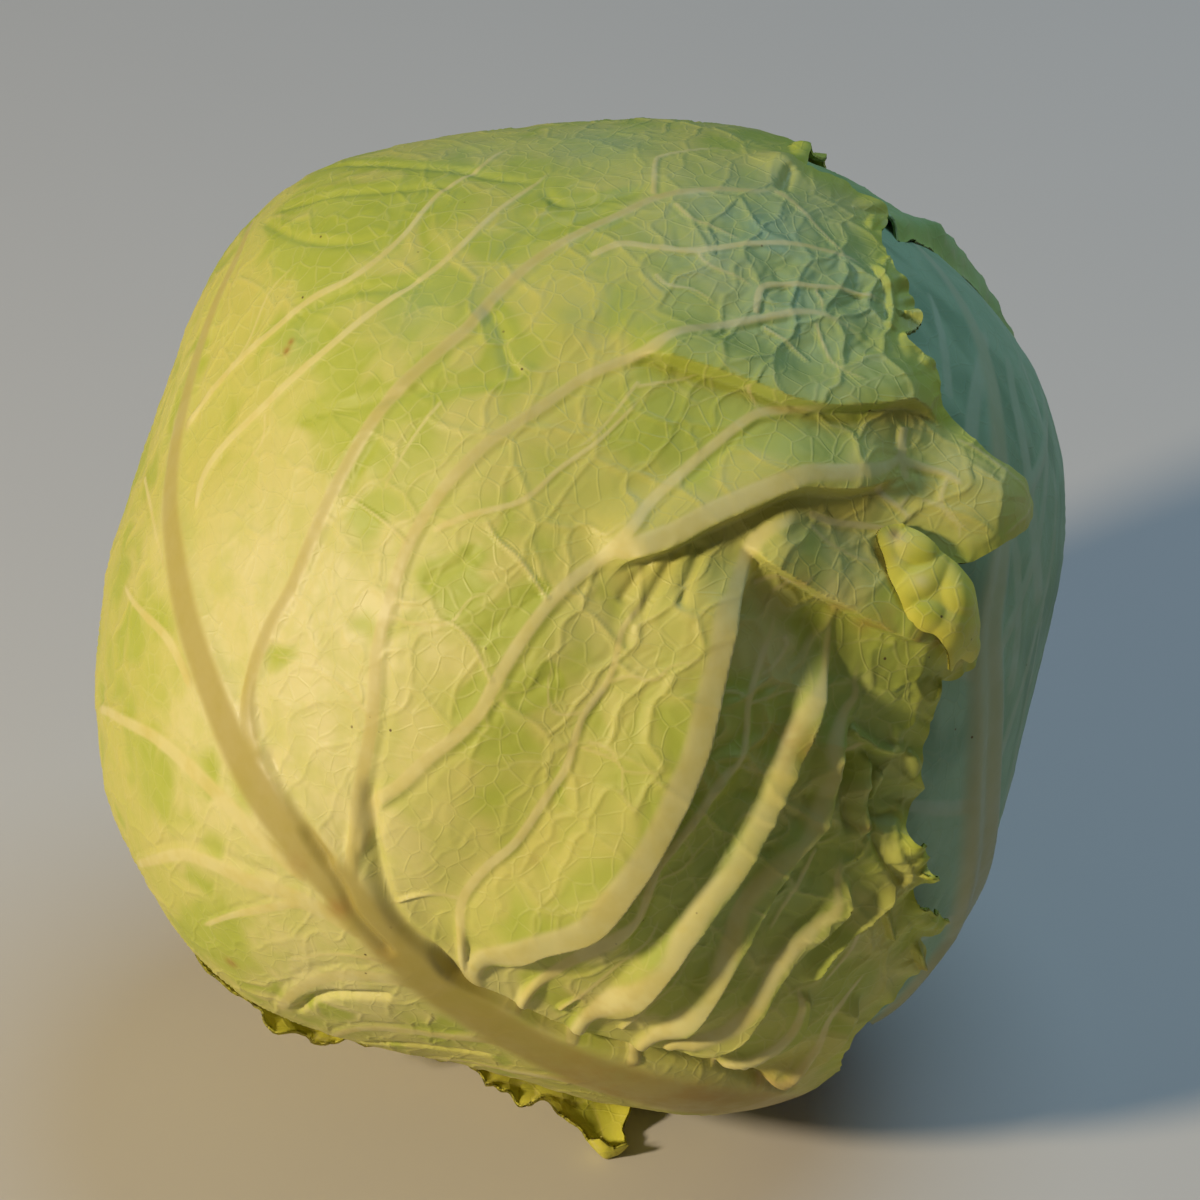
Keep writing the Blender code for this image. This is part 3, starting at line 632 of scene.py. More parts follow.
# Sends one leaf to Blender, as one or more pieces cut at the given board columns
def weaveLeaf(name, board, outline, look, material, node, cuts=()):
    rimLine = smoothLine(outline, 0.8 * mm, closed=True)
    span = np.roll(rimLine, -1, axis=0) - rimLine
    nextX, nextY = np.roll(rimLine, -1, axis=0).T
    area = 0.5 * np.sum(rimLine[:, 0] * nextY - rimLine[:, 1] * nextX)
    normal = unit(np.stack([span[:, 1], -span[:, 0]], axis=-1)) * (1.0 if area > 0 else -1.0)
    travel = np.cumsum(np.linalg.norm(span, axis=1))
    nickSize = 6.0 * mm
    smallNickSize = 2.6 * mm
    nick = clouds(travel, 0 * travel, nickSize, 41) + 0.5 * clouds(travel, 0 * travel, smallNickSize, 42)
    rimLine = rimLine + normal * (look["nicks"] * mm * nick)[:, None]
    squares, edge = cutOut(board, rimLine)
    beside = 5             # rim points on each side that the way outwards is averaged over
    broad = np.ones(2 * beside + 1) / (2 * beside + 1)
    place = edge["along"] * len(normal)
    for key, values in (("outX", normal[:, 0]), ("outY", normal[:, 1])):
        calm = np.convolve(np.concatenate([values[-beside:], values, values[:beside]]), broad, "valid")
        edge[key] = np.interp(place, np.arange(len(calm) + 1), np.append(calm, calm[0]))
    lift, slipX, slipY, maps = leafRelief(board, edge, look)
    direction = board.wrap(board.x + slipX, board.y + slipY)
    radius = headRadius(direction) - look["level"] + lift
    points = direction * radius[..., None] + centre
    points[..., 2] = np.maximum(points[..., 2], 0.0)
    acrossX = np.gradient(points, axis=1)
    acrossY = np.gradient(points, axis=0)
    normals = unit(np.cross(acrossX, acrossY) + 1e-12)
    lining = points - normals * look["thickness"] * mm
    liningFloor = 0.2 * mm
    lining[..., 2] = np.maximum(lining[..., 2], liningFloor)
    near = edge["in"] < look["liningBand"] * mm
    columns = [0] + [int(np.searchsorted(board.xs, cut * mm)) for cut in cuts] + [squares.shape[1]]
    for part, (first, last) in enumerate(zip(columns[:-1], columns[1:])):
        chosen = np.zeros_like(squares)
        chosen[:, first:last] = squares[:, first:last]
        pieceName = name if len(columns) == 2 else f"{name}{part + 1}"
        piece = gridPiece(pieceName, points, lining, normals, chosen, squares, near, maps)
        piece.data.materials.append(material)
        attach(piece, "root")
        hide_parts(node)
        print(pieceName, "faces", len(piece.data.polygons))


# One mesh from the chosen squares of a grid, with a lining along the margin joined to it at the rim
def gridPiece(name, points, lining, normals, chosen, squares, near, maps):
    rows, columns = points.shape[:2]
    index = np.arange(rows * columns).reshape(rows, columns)
    corner = np.stack([index[:-1, :-1], index[:-1, 1:], index[1:, 1:], index[1:, :-1]], axis=-1)
    outer = corner[chosen]
    nearSquare = near[:-1, :-1] | near[1:, :-1] | near[:-1, 1:] | near[1:, 1:]
    inner = corner[chosen & nearSquare][:, ::-1] + rows * columns
    padded = np.pad(squares, 1)
    sides = []
    for shiftRow, shiftColumn, a, b in ((-1, 0, 0, 1), (0, 1, 1, 2), (1, 0, 2, 3), (0, -1, 3, 0)):
        neighbour = padded[1 + shiftRow:rows + shiftRow, 1 + shiftColumn:columns + shiftColumn]
        bare = corner[chosen & ~neighbour]
        start = bare[:, a]
        end = bare[:, b]
        sides.append(np.stack([end, start, start + rows * columns, end + rows * columns], axis=-1))
    faces = np.vstack([outer, inner] + sides)
    used, faces = np.unique(faces, return_inverse=True)
    faces = faces.reshape(-1, 4)
    allPoints = np.vstack([points.reshape(-1, 3), lining.reshape(-1, 3)])[used]
    allNormals = np.vstack([normals.reshape(-1, 3), -normals.reshape(-1, 3)])[used]
    mesh = bpy.data.meshes.new(name)
    mesh.vertices.add(len(allPoints))
    mesh.vertices.foreach_set("co", allPoints.ravel())
    mesh.loops.add(faces.size)
    mesh.loops.foreach_set("vertex_index", faces.ravel().astype(np.int32))
    mesh.polygons.add(len(faces))
    mesh.polygons.foreach_set("loop_start", np.arange(0, faces.size, 4, dtype=np.int32))
    mesh.update(calc_edges=True)
    mesh.shade_smooth()
    mesh.normals_split_custom_set_from_vertices(allNormals)
    for key, values in maps.items():
        layer = mesh.color_attributes.new(key, "FLOAT_COLOR", "POINT")
        layer.data.foreach_set("color", np.tile(values.reshape(-1, 4), (2, 1))[used].ravel())
    made = bpy.data.objects.new(name, mesh)
    bpy.context.collection.objects.link(made)
    return made


# Where a midrib starts beside the stem, and the two corners of its stalk
def stalkEnd(board, towardPoint):
    stemSpot = board.draw(stemWay)
    toward = unit(towardPoint - stemSpot)
    root = stemSpot + toward * (stemLook["radius"] + stemLook["stalkGap"])
    side = np.array([-toward[1], toward[0]]) * stemLook["stalkHalfWidth"]
    return root + toward * stemLook["midribInset"], [root - side, root + side]


# Pairs of ribs that leave a midrib and sweep forward to the margin
def sideRibs(spine, reach, pairs, height, width):
    firstRoot = 0.10       # where the ribs leave the midrib, as shares of its length
    lastRoot = 0.84
    forward = 30 * mm
    sweep = 20 * mm
    even = smoothLine(spine, 2 * mm)
    steps = np.linspace(0, 1, 5)[:, None]
    ribs = []
    for share in np.linspace(firstRoot, lastRoot, pairs, endpoint=False):
        k = int(share * (len(even) - 1))
        run = unit(even[k + 1] - even[k])
        side = np.array([-run[1], run[0]])
        shorter = 1 - 0.3 * abs(2 * share - 1)
        for hand in (-1, 1):
            across = side * hand * reach * shorter
            curve = even[k] + steps * (across + run * forward) + steps ** 2 * run * sweep
            ribs.append(((width, 0.4 * width), (height, 0.3 * height), curve))
    return ribs


# One material's nodes, with a short way to add and join them
class Paint:
    def __init__(self, name):
        self.material = bpy.data.materials.new(name)
        self.material.use_nodes = True
        self.tree = self.material.node_tree
        self.shader = self.tree.nodes["Principled BSDF"]
        self.place = self.add("TexCoord").outputs["Object"]

    def add(self, kind):
        return self.tree.nodes.new("ShaderNode" + kind)

    def join(self, value, socket):
        self.tree.links.new(value, socket)

    def feed(self, values, sockets):
        for value, socket in zip(values, sockets):
            if isinstance(value, bpy.types.NodeSocket):
                self.join(value, socket)
            else:
                socket.default_value = (*value, 1.0) if isinstance(value, tuple) else value

    def mix(self, share, first, second):
        made = self.add("Mix")
        made.data_type = "RGBA"
        self.feed((share, first, second), (made.inputs[0], made.inputs[6], made.inputs[7]))
        return made.outputs[2]

    def calc(self, operation, *values):
        made = self.add("Math")
        made.operation = operation
        self.feed(values, made.inputs)
        return made.outputs[0]

    def times(self, first, second):
        return self.calc("MULTIPLY", first, second)

    def ramp(self, value, low, high, toLow=0.0, toHigh=1.0):
        made = self.add("MapRange")
        made.interpolation_type = "SMOOTHSTEP"
        self.feed((value, low, high, toLow, toHigh), made.inputs)
        return made.outputs[0]

    def noise(self, scale, detail, roughness=0.55, result="Fac"):
        made = self.add("TexNoise")
        self.join(self.place, made.inputs["Vector"])
        made.inputs["Scale"].default_value = scale
        made.inputs["Detail"].default_value = detail
        made.inputs["Roughness"].default_value = roughness
        return made.outputs[result]

    def cells(self, scale, feature, bend=0.0):
        made = self.add("TexVoronoi")
        made.feature = feature
        made.inputs["Scale"].default_value = scale
        place = self.place
        if bend:
            bent = self.add("VectorMath")
            bent.operation = "MULTIPLY_ADD"
            self.join(self.noise(0.7 * scale, 0.0, 0.5, "Color"), bent.inputs[0])
            bent.inputs[1].default_value = (bend / scale,) * 3
            self.join(self.place, bent.inputs[2])
            place = bent.outputs[0]
        self.join(place, made.inputs["Vector"])
        return made.outputs["Distance"]

    # The four channels of a colour attribute
    def channels(self, name):
        made = self.add("Attribute")
        made.attribute_type = "GEOMETRY"
        made.attribute_name = name
        split = self.add("SeparateColor")
        self.join(made.outputs["Color"], split.inputs[0])
        return (*split.outputs, made.outputs["Alpha"])

    def bump(self, height, strength, distance):
        made = self.add("Bump")
        made.inputs["Strength"].default_value = strength
        made.inputs["Distance"].default_value = distance
        self.join(height, made.inputs["Height"])
        self.join(made.outputs[0], self.shader.inputs["Normal"])


# Leaf finish: waxy blade, pale veins, greener patches, a margin with a painted glow of light shining through
# it, specks and a fine net; the green, cream, cool and stain shares also bring in painted shade and painted
# light
def leafMaterial(name, look):
    p = Paint(name)
    vein, green, margin, pit = p.channels("leafMap")
    midrib, creamAndLight, bloomAndSkyShade, stainAndShade = p.channels("toneMap")
    broad = p.noise(look["broadScale"], 3.0)
    middling = p.noise(look["middlingScale"], 3.0, 0.6)
    # The green share also carries painted shade and painted light from the spots and creases
    patch = p.calc("MULTIPLY_ADD", broad, 0.8, p.calc("ADD", green, -0.40))
    greenShare = p.ramp(patch, look["greenFrom"], look["greenTo"])
    # Cream blade colour, which on some spots is painted light
    blade = p.mix(creamAndLight, look["pale"], look["creamAndLight"])
    colour = p.mix(greenShare, blade, look["green"])
    # Bluish bloom of the leaf, and painted sky-lit shade
    colour = p.mix(bloomAndSkyShade, colour, look["bloomAndSkyShade"])
    colour = p.mix(p.times(p.ramp(middling, 0.38, 0.66), look["mottle"]), colour, look["mottleColour"])
    fineLine = p.ramp(p.cells(look["fineNet"], "DISTANCE_TO_EDGE", 0.6), 0.0, 0.08, 1.0, 0.0)
    fineLine = p.times(fineLine, p.ramp(vein, 0.15, 0.6, 1.0, 0.0))
    colour = p.mix(p.times(fineLine, p.ramp(broad, 0.35, 0.6, 0.05, 0.26)), colour, look["veinThin"])
    colour = p.mix(p.times(pit, look["pitShade"]), colour, look["green"])
    # Painted glow of light through the thin margin
    edgeShare = p.times(margin, p.ramp(broad, 0.3, 0.6, 0.4, look["edgeShare"]))
    colour = p.mix(edgeShare, colour, look["edge"])
    veinTone = p.mix(p.ramp(middling, 0.35, 0.7), look["vein"], look["veinWarm"])
    veinTone = p.mix(p.times(midrib, look["midribShare"]), veinTone, look["midrib"])
    colour = p.mix(p.ramp(vein, 0.12, 0.78, 0.0, look["veinShare"]), colour, veinTone)
    # Brown stains, and painted shade at the midrib's foot
    brown = p.times(stainAndShade, p.ramp(middling, 0.34, 0.60, 0.15, 1.0))
    colour = p.mix(brown, colour, look["stainAndShade"])
    dot = p.ramp(p.cells(look["speckScale"], "F1"), 0.03, 0.075, 1.0, 0.0)
    colour = p.mix(p.times(dot, p.ramp(broad, 0.56, 0.60)), colour, look["speck"])
    rough = p.ramp(middling, 0.3, 0.7, look["roughness"] - 0.06, look["roughness"] + 0.10)
    p.join(colour, p.shader.inputs["Base Color"])
    p.join(p.calc("SUBTRACT", rough, p.times(midrib, 0.18)), p.shader.inputs["Roughness"])
    p.shader.inputs["Specular IOR Level"].default_value = look["shine"]
    p.shader.inputs["Subsurface Weight"].default_value = look["glow"]
    p.shader.inputs["Subsurface Radius"].default_value = look["glowRadius"]
    p.shader.inputs["Subsurface Scale"].default_value = look["glowScale"]
    grain = p.noise(look["grainScale"], 2.0, 0.6)
    p.bump(p.calc("MULTIPLY_ADD", fineLine, 0.6, p.times(grain, 0.6)), look["bump"], look["bumpHeight"])
    return p.material


# Finish of each leaf: linear colours, and shares from 0 to 1
paleLook = {
    "pale": (0.510, 0.478, 0.110),
    "creamAndLight": (0.625, 0.570, 0.255),
    "green": (0.375, 0.420, 0.052),
    "greenFrom": 0.32,
    "greenTo": 0.80,
    "bloomAndSkyShade": (0.255, 0.375, 0.185),
    "broadScale": 32.0,
    "middlingScale": 110.0,
    "grainScale": 300.0,
    "mottle": 0.42,
    "mottleColour": (0.430, 0.460, 0.085),
    "fineNet": 230.0,
    "veinThin": (0.58, 0.56, 0.20),
    "pitShade": 0.55,
    "edge": (0.430, 0.470, 0.045),
    "edgeShare": 0.85,
    "vein": (0.620, 0.560, 0.240),
    "veinWarm": (0.570, 0.490, 0.160),
    "veinShare": 0.85,
    "midrib": (0.275, 0.205, 0.026),
    "midribShare": 0.95,
    "stainAndShade": (0.330, 0.170, 0.030),
    "speckScale": 190.0,
    "speck": (0.12, 0.08, 0.02),
    "roughness": 0.54,
    "shine": 0.40,
    "glow": 0.12,
    "glowRadius": (1.0, 0.85, 0.30),
    "glowScale": 2.2 * mm,
    "bump": 0.35,
    "bumpHeight": 0.22 * mm,
}
greyLook = dict(
    paleLook, pale=(0.290, 0.440, 0.250), creamAndLight=(0.42, 0.40, 0.26), green=(0.190, 0.320, 0.170),
    mottleColour=(0.25, 0.39, 0.21), veinThin=(0.27, 0.37, 0.20), edge=(0.20, 0.30, 0.10),
    vein=(0.38, 0.48, 0.30), veinWarm=(0.34, 0.44, 0.26), midrib=(0.44, 0.36, 0.12), midribShare=0.80,
    bloomAndSkyShade=(0.27, 0.44, 0.27), glow=0.06)
darkLook = dict(
    paleLook, pale=(0.330, 0.460, 0.185), creamAndLight=(0.42, 0.45, 0.20), green=(0.190, 0.330, 0.080),
    mottleColour=(0.25, 0.37, 0.12), veinThin=(0.36, 0.45, 0.18), edge=(0.36, 0.48, 0.11),
    vein=(0.48, 0.50, 0.24), veinWarm=(0.44, 0.45, 0.19), midrib=(0.46, 0.42, 0.16), glow=0.08)
yellowLook = dict(
    paleLook, pale=(0.600, 0.560, 0.075), green=(0.430, 0.460, 0.045), mottleColour=(0.54, 0.52, 0.07),
    edge=(0.60, 0.55, 0.06), glow=0.18)

palePaint = leafMaterial("paleLeaf", paleLook)
greyPaint = leafMaterial("greyLeaf", greyLook)
darkPaint = leafMaterial("darkLeaf", darkLook)
yellowPaint = leafMaterial("yellowLeaf", yellowLook)
print("leaf finishes ready")

# Small veins: widths at root and tip, heights at root and tip, in mm
hairVein = ((1.8, 1.2), (0.5, 0.3))
thinVein = ((2.0, 1.4), (0.5, 0.4))
sideVein = ((2.0, 1.4), (0.6, 0.3))

# Front leaf: covers the front, the left and the top, its ribbed underside outwards. Its lists are, in mm
# and with their places in pixels of the 1200 px frame:
# ribs: widths from root to tip, heights from root to tip, line
# folds: height, fall to the left, fall to the right, lean to the right, line
# grooves and creases: depth, width, line
# swells and quilt, ruffle and colour spots: place, radius in px, height or share (below 0 takes away)
# domes: place, the two half widths and the turn in degrees, height
# dull: place, radius in px, share of the veins' pale tint that is taken away there, painting shade on ribs
# that lie in shade
# oliveRibs: the rib's place in ribsPx, counted from 1, and its share of the midrib's colour
frontLeaf = {
    "level": levels["front"],
    "thickness": 0.9,
    "liningBand": 7.0,
    "spans": {
        "x": (-232.0, [(-138.0, 2.0), (-95.0, 0.9), (112.0, 0.5), (178.0, 0.85)]),
        "y": (-178.0, [(-95.0, 0.9), (98.0, 0.5), (146.0, 0.85), (228.0, 2.0)]),
    },
    "cuts": (-62.0, 10.0, 76.0),
    "marginPx": [
        (843, 1048), (878, 1012), (905, 985), (920, 965), (928, 950), (922, 938), (940, 930),
        (942, 914), (930, 905), (918, 890), (927, 870), (918, 845), (906, 826), (912, 800), (912, 770),
        (922, 735), (935, 700), (950, 676), (972, 660), (974, 630), (966, 600), (952, 566), (972, 562),
        (1000, 544), (1022, 526), (1029, 508), (1021, 488), (1004, 468), (985, 452), (960, 424), (937, 395),
        (936, 373), (919, 357), (903, 334), (917, 322), (909, 300), (895, 276), (886, 254), (880, 238),
        (883, 216), (864, 197), (834, 180), (806, 168), (806, 150), (786, 144),
    ],
    "hiddenMargin": [
        (62, 100), (78, 109), (95, 118), (112, 127), (130, 134), (150, 137), (170, 134), (188, 127),
        (203, 118), (218, 109), (232, 103), (246, 102), (260, 103), (273, 103), (283, 101),
    ],
    "midrib": (
        (25.0, 26.0, 24.0, 19.0, 14.0, 11.5, 10.0, 9.5, 8.0, 5.6, 3.0),
        (6.0, 6.6, 6.0, 4.6, 3.0, 2.0, 1.0), [
            (745, 1100), (672, 1090), (600, 1069), (530, 1038), (463, 997), (406, 952), (352, 896),
            (301, 842), (262, 790), (235, 740), (210, 680), (190, 620), (178, 560), (172, 500), (178, 440),
            (195, 370), (215, 310), (240, 255), (255, 222)]),
    "ribsPx": [
        ((6.4, 3.0), (2.0, 0.8), [
            (270, 790), (248, 720), (252, 670), (270, 625), (290, 590), (310, 545), (330, 500),
            (358, 448), (391, 400), (436, 357), (468, 330), (498, 295), (538, 261), (584, 234),
            (624, 215), (660, 199), (718, 191), (771, 191), (800, 165)]),
        ((2.6, 1.4), (0.7, 0.4), [(771, 191), (795, 205), (822, 232), (850, 262)]),
        ((2.8, 1.6), (0.8, 0.4), [(653, 200), (655, 165), (664, 158), (690, 153), (716, 151), (745, 156)]),
        ((3.2, 2.0), (1.0, 0.6), [
            (584, 262), (620, 247), (657, 250), (699, 252), (747, 245), (797, 245), (853, 261), (876, 282)]),
        ((2.2, 1.4), (0.7, 0.5), [(673, 204), (690, 220), (715, 229), (745, 243)]),
        ((2.0, 1.4), (0.6, 0.5), [(696, 252), (708, 266), (738, 278), (757, 290)]),
        ((2.0, 1.4), (0.6, 0.5), [(653, 275), (667, 287), (694, 291), (719, 307)]),
        ((3.0, 1.8), (1.1, 0.7), [
            (756, 318), (757, 300), (762, 288), (780, 284), (815, 286), (850, 291), (888, 303)]),
        ((1.8, 1.4), (0.6, 0.5), [(640, 380), (634, 388), (600, 431), (572, 452)]),
        ((1.8, 1.2), (0.6, 0.4), [(634, 388), (678, 381), (702, 373)]),
        ((2.0, 1.4), (0.7, 0.5), [(745, 385), (752, 400), (758, 414)]),
        ((1.8, 1.4), (0.6, 0.5), [(815, 288), (822, 302), (820, 312)]),
        ((1.8, 1.4), (0.6, 0.5), [(762, 325), (790, 345), (812, 366)]),
        ((1.8, 1.4), (0.6, 0.5), [(815, 320), (826, 350), (838, 372), (868, 388)]),
        ((6.0, 3.0), (1.9, 0.9), [
            (441, 996), (416, 971), (383, 938), (363, 904), (353, 871), (355, 830), (358, 798),
            (372, 718), (377, 651), (393, 589), (409, 544), (428, 512), (455, 477), (490, 443),
            (530, 416), (584, 379), (637, 357), (678, 338), (718, 328), (753, 320), (785, 314),
            (812, 312), (838, 322), (868, 341), (905, 380)]),
        ((2.6, 1.6), (0.8, 0.5), [(427, 533), (470, 516), (523, 501), (560, 469), (600, 440), (640, 400),
                              (650, 385)]),
        ((5.2, 3.6), (1.8, 1.3), [
            (353, 871), (366, 821), (375, 802), (400, 785), (428, 758), (453, 739), (480, 712),
            (494, 686), (520, 643), (550, 603), (574, 579), (603, 557), (628, 533), (649, 504),
            (681, 474), (708, 450), (753, 416), (785, 411), (825, 408), (868, 405)]),
        ((4.2, 3.2), (1.1, 0.9), [
            (603, 557), (633, 545), (668, 532), (703, 513), (748, 493), (775, 482), (802, 474),
            (843, 474), (879, 468), (901, 456), (906, 430), (914, 416)]),
        ((3.6, 2.2), (1.4, 0.7), [
            (901, 460), (929, 468), (950, 474), (966, 488)]),
        ((3.4, 2.6), (1.4, 0.8), [(905, 425), (902, 445), (903, 464), (908, 484)]),
        ((2.8, 1.8), (1.1, 0.6), [(869, 482), (885, 496), (901, 507), (914, 523)]),
        ((2.0, 1.4), (0.8, 0.6), [(901, 507), (912, 492)]),
        ((2.0, 1.4), (0.8, 0.5), [(950, 475), (942, 498), (952, 518), (974, 530)]),
        ((1.8, 1.2), (0.7, 0.4), [(922, 498), (945, 508), (960, 526), (958, 545)]),
        ((2.0, 1.6), (0.8, 0.6), [
            (955, 436), (980, 452), (1001, 471), (1016, 490), (1022, 508), (1012, 526), (990, 543)]),
        ((4.4, 2.0), (1.5, 0.6), [
            (474, 1000), (466, 972), (463, 929), (464, 896), (487, 866), (516, 841), (545, 798), (566, 766),
            (577, 731), (585, 712), (606, 683), (614, 662), (622, 629), (638, 608), (654, 584),
            (668, 557)]),
        ((2.0, 1.4), (0.5, 0.3), [(464, 896), (435, 893), (406, 899), (384, 908), (366, 906)]),
        (*hairVein, [(585, 712), (555, 712), (548, 686), (555, 659)]),
        (*hairVein, [(606, 683), (628, 675), (652, 678), (668, 664), (703, 656)]),
        (*hairVein, [(585, 739), (609, 747), (625, 766), (668, 762)]),
        ((8.0, 5.4), (2.6, 1.5), [
            (486, 1000), (474, 972), (491, 944), (532, 926), (581, 909), (607, 882), (634, 847), (653, 815),
            (669, 780), (684, 745), (697, 691), (708, 651), (716, 611), (726, 597), (740, 569),
            (751, 544), (763, 533), (789, 520), (809, 511), (819, 495), (822, 485)]),
        ((3.0, 2.2), (0.9, 0.6), [(805, 513), (831, 522), (872, 526), (898, 532)]),
        ((5.0, 2.4), (1.2, 0.8), [
            (516, 1018), (526, 994), (546, 973), (581, 951), (613, 935), (637, 914), (648, 882), (656, 860),
            (688, 823), (719, 777), (738, 758), (746, 731), (748, 704), (757, 670), (775, 616),
            (767, 592), (752, 583)]),
        ((6.4, 3.6), (1.9, 1.0), [
            (566, 1046), (581, 1022), (607, 994), (634, 978), (661, 951), (677, 922), (701, 887), (723, 860),
            (741, 828), (764, 782), (784, 731), (802, 700), (822, 667), (830, 629), (825, 603),
            (812, 583)]),
        ((5.8, 3.0), (1.8, 0.9), [
            (626, 1066), (642, 1044), (674, 1016), (701, 989), (723, 941), (741, 900), (768, 860),
            (794, 834),
            (810, 807), (822, 769), (825, 743), (843, 710), (856, 695), (856, 675), (868, 650),
            (880, 635)]),
        ((4.2, 2.0), (1.2, 0.7), [
            (658, 1050), (672, 1043), (692, 1039), (723, 1027), (749, 1000), (776, 954), (811, 919),
            (830, 901),
            (836, 869), (850, 836)]),
        ((3.6, 2.0), (1.1, 0.7), [
            (712, 1070), (728, 1061), (755, 1052), (787, 1030), (798, 1000), (795, 978)]),
        ((3.4, 1.8), (1.0, 0.6), [
            (752, 1084), (764, 1078), (786, 1071), (813, 1048), (832, 1015), (855, 988),
                              (873, 965)]),
        (*sideVein, [(748, 704), (790, 690), (806, 690)]),
        (*sideVein, [(723, 860), (760, 845), (790, 832)]),
        (*sideVein, [(677, 922), (705, 925), (728, 930)]),
        (*sideVein, [(770, 592), (795, 578), (812, 570)]),
        ((3.0, 1.6), (0.9, 0.4), [(142, 474), (155, 525), (170, 580)]),
        ((5.4, 2.6), (1.7, 0.9), [(195, 691), (182, 664), (166, 635), (139, 608), (120, 581)]),
        ((8.4, 4.2), (2.5, 1.2), [
            (320, 884), (288, 858), (254, 830), (227, 801), (187, 763), (147, 731), (107, 710),
            (98, 712)]),
        ((8.4, 4.0), (2.5, 1.1), [
            (378, 936), (326, 910), (287, 892), (247, 879), (207, 860), (172, 855), (135, 863)]),
        ((4.6, 2.2), (1.4, 0.6), [(330, 912), (300, 903), (274, 906), (234, 914), (199, 927)]),
        ((7.4, 4.6), (2.0, 1.4), [
            (470, 1000), (430, 983), (392, 974), (350, 972), (315, 979), (290, 996), (280, 1012)]),
        ((7.4, 4.2), (2.0, 1.2), [
            (550, 1056), (500, 1036), (450, 1031), (400, 1027), (355, 1028), (328, 1038)]),
        ((7.4, 4.0), (1.8, 0.9), [(630, 1090), (570, 1074), (528, 1068), (475, 1062), (420, 1056)]),
        ((2.6, 1.4), (0.7, 0.4), [(430, 968), (380, 956), (330, 952), (280, 960)]),
        ((3.6, 2.0), (1.2, 0.6), [
            (188, 440), (191, 419), (233, 368), (273, 332), (315, 298), (360, 273), (402, 236), (438, 194),
            (477, 169), (503, 150), (540, 138)]),
        ((3.6, 2.2), (1.2, 0.7), [
            (192, 520), (211, 461), (273, 399), (329, 351), (374, 312), (427, 276), (466, 242), (505, 208),
            (539, 183), (566, 160)]),
        ((2.0, 1.2), (0.5, 0.3), [(232, 372), (250, 340), (273, 290), (303, 262)]),
        (*hairVein, [(265, 410), (262, 440), (240, 470), (222, 510)]),
        (*hairVein, [(445, 400), (420, 430), (395, 470), (380, 500)]),
        (*hairVein, [(386, 614), (420, 625), (452, 622), (470, 600), (500, 590)]),
        (*thinVein, [(806, 524), (822, 542), (846, 556), (880, 566)]),
        ((2.2, 1.6), (0.7, 0.5), [(752, 583), (774, 576), (796, 580), (813, 590)]),
        ((2.4, 1.6), (0.9, 0.6), [(784, 634), (787, 646), (774, 665), (758, 678)]),
        ((2.2, 1.4), (0.8, 0.5), [(787, 752), (806, 740), (826, 735)]),
        ((3.4, 2.4), (1.1, 0.7), [(822, 775), (845, 755), (866, 738)]),
        ((2.2, 1.4), (0.8, 0.5), [(798, 838), (821, 842), (844, 828)]),
        ((2.8, 1.8), (1.0, 0.6), [(817, 845), (791, 891), (766, 937)]),
        ((2.6, 1.6), (0.9, 0.5), [(860, 924), (852, 949), (823, 987)]),
        ((2.2, 1.4), (0.6, 0.4), [(556, 1010), (590, 985), (618, 962), (648, 938), (664, 905)]),
        (*thinVein, [(618, 1030), (650, 1003), (672, 985), (694, 950), (712, 920)]),
        (*thinVein, [(706, 1050), (735, 1030), (757, 1010), (770, 985)]),
        (*thinVein, [(664, 815), (684, 836), (694, 862)]),
        (*thinVein, [(741, 900), (762, 905), (788, 893)]),
        (*thinVein, [(794, 834), (812, 838), (832, 828)]),
        (*thinVein, [(701, 989), (722, 992), (745, 985)]),
        (*thinVein, [(716, 690), (742, 694), (752, 716)]),
        ((2.2, 1.4), (0.7, 0.4), [(723, 768), (735, 764), (760, 770), (785, 765)]),
        ((1.8, 1.2), (0.6, 0.4), [(652, 878), (680, 868), (700, 846), (722, 822)]),
        (*hairVein, [(453, 739), (430, 752), (395, 745)]),
        (*hairVein, [(578, 745), (618, 760), (622, 790), (640, 800)]),
        (*hairVein, [(372, 718), (345, 690), (312, 668), (262, 652)]),
        (*hairVein, [(409, 544), (382, 520), (352, 500), (334, 497)]),
        (*hairVein, [(494, 686), (470, 640), (440, 620), (385, 630)]),
        (*hairVein, [(550, 603), (520, 560), (498, 540), (482, 512)]),
    ],
    "foldsPx": [
        (5.2, 20.0, 2.2, 2.2, [
            (476, 970), (532, 932), (588, 913), (622, 876), (660, 815), (690, 748), (704, 691),
            (722, 616), (742, 573), (754, 548)]),
        (1.0, 3.5, 2.6, 0.3, [(560, 968), (620, 938), (660, 862), (725, 777), (752, 720)]),
        (4.3, 4.8, 2.0, 1.9, [
            (590, 1022), (640, 980), (685, 922), (730, 860), (770, 785), (808, 702), (834, 640)]),
        (3.4, 3.8, 2.0, 1.7, [
            (650, 1048), (682, 1018), (730, 945), (775, 862), (816, 810), (831, 745), (862, 695)]),
        (2.9, 3.8, 1.8, 1.5, [(660, 1050), (728, 1034), (782, 958), (836, 905), (843, 865)]),
        (2.2, 5.0, 2.0, 0.8, [(720, 1068), (792, 1034), (805, 985)]),
        (2.2, 5.0, 2.0, 0.8, [(757, 1084), (818, 1053), (860, 992)]),
        (3.8, 12.0, 2.4, 1.8, [
            (596, 572), (614, 563), (633, 553), (668, 541), (703, 522), (748, 502), (775, 490), (802, 483),
            (843, 485), (879, 478), (905, 470)]),
        (3.0, 11.0, 1.6, 1.4, [
            (620, 366), (646, 356), (676, 360), (742, 381), (784, 397), (825, 405), (875, 402), (905, 400),
            (930, 412), (950, 428)]),
        (4.2, 14.0, 1.5, 2.2, [
            (740, 540), (784, 566), (816, 585), (847, 601), (872, 616), (900, 628), (940, 642)]),
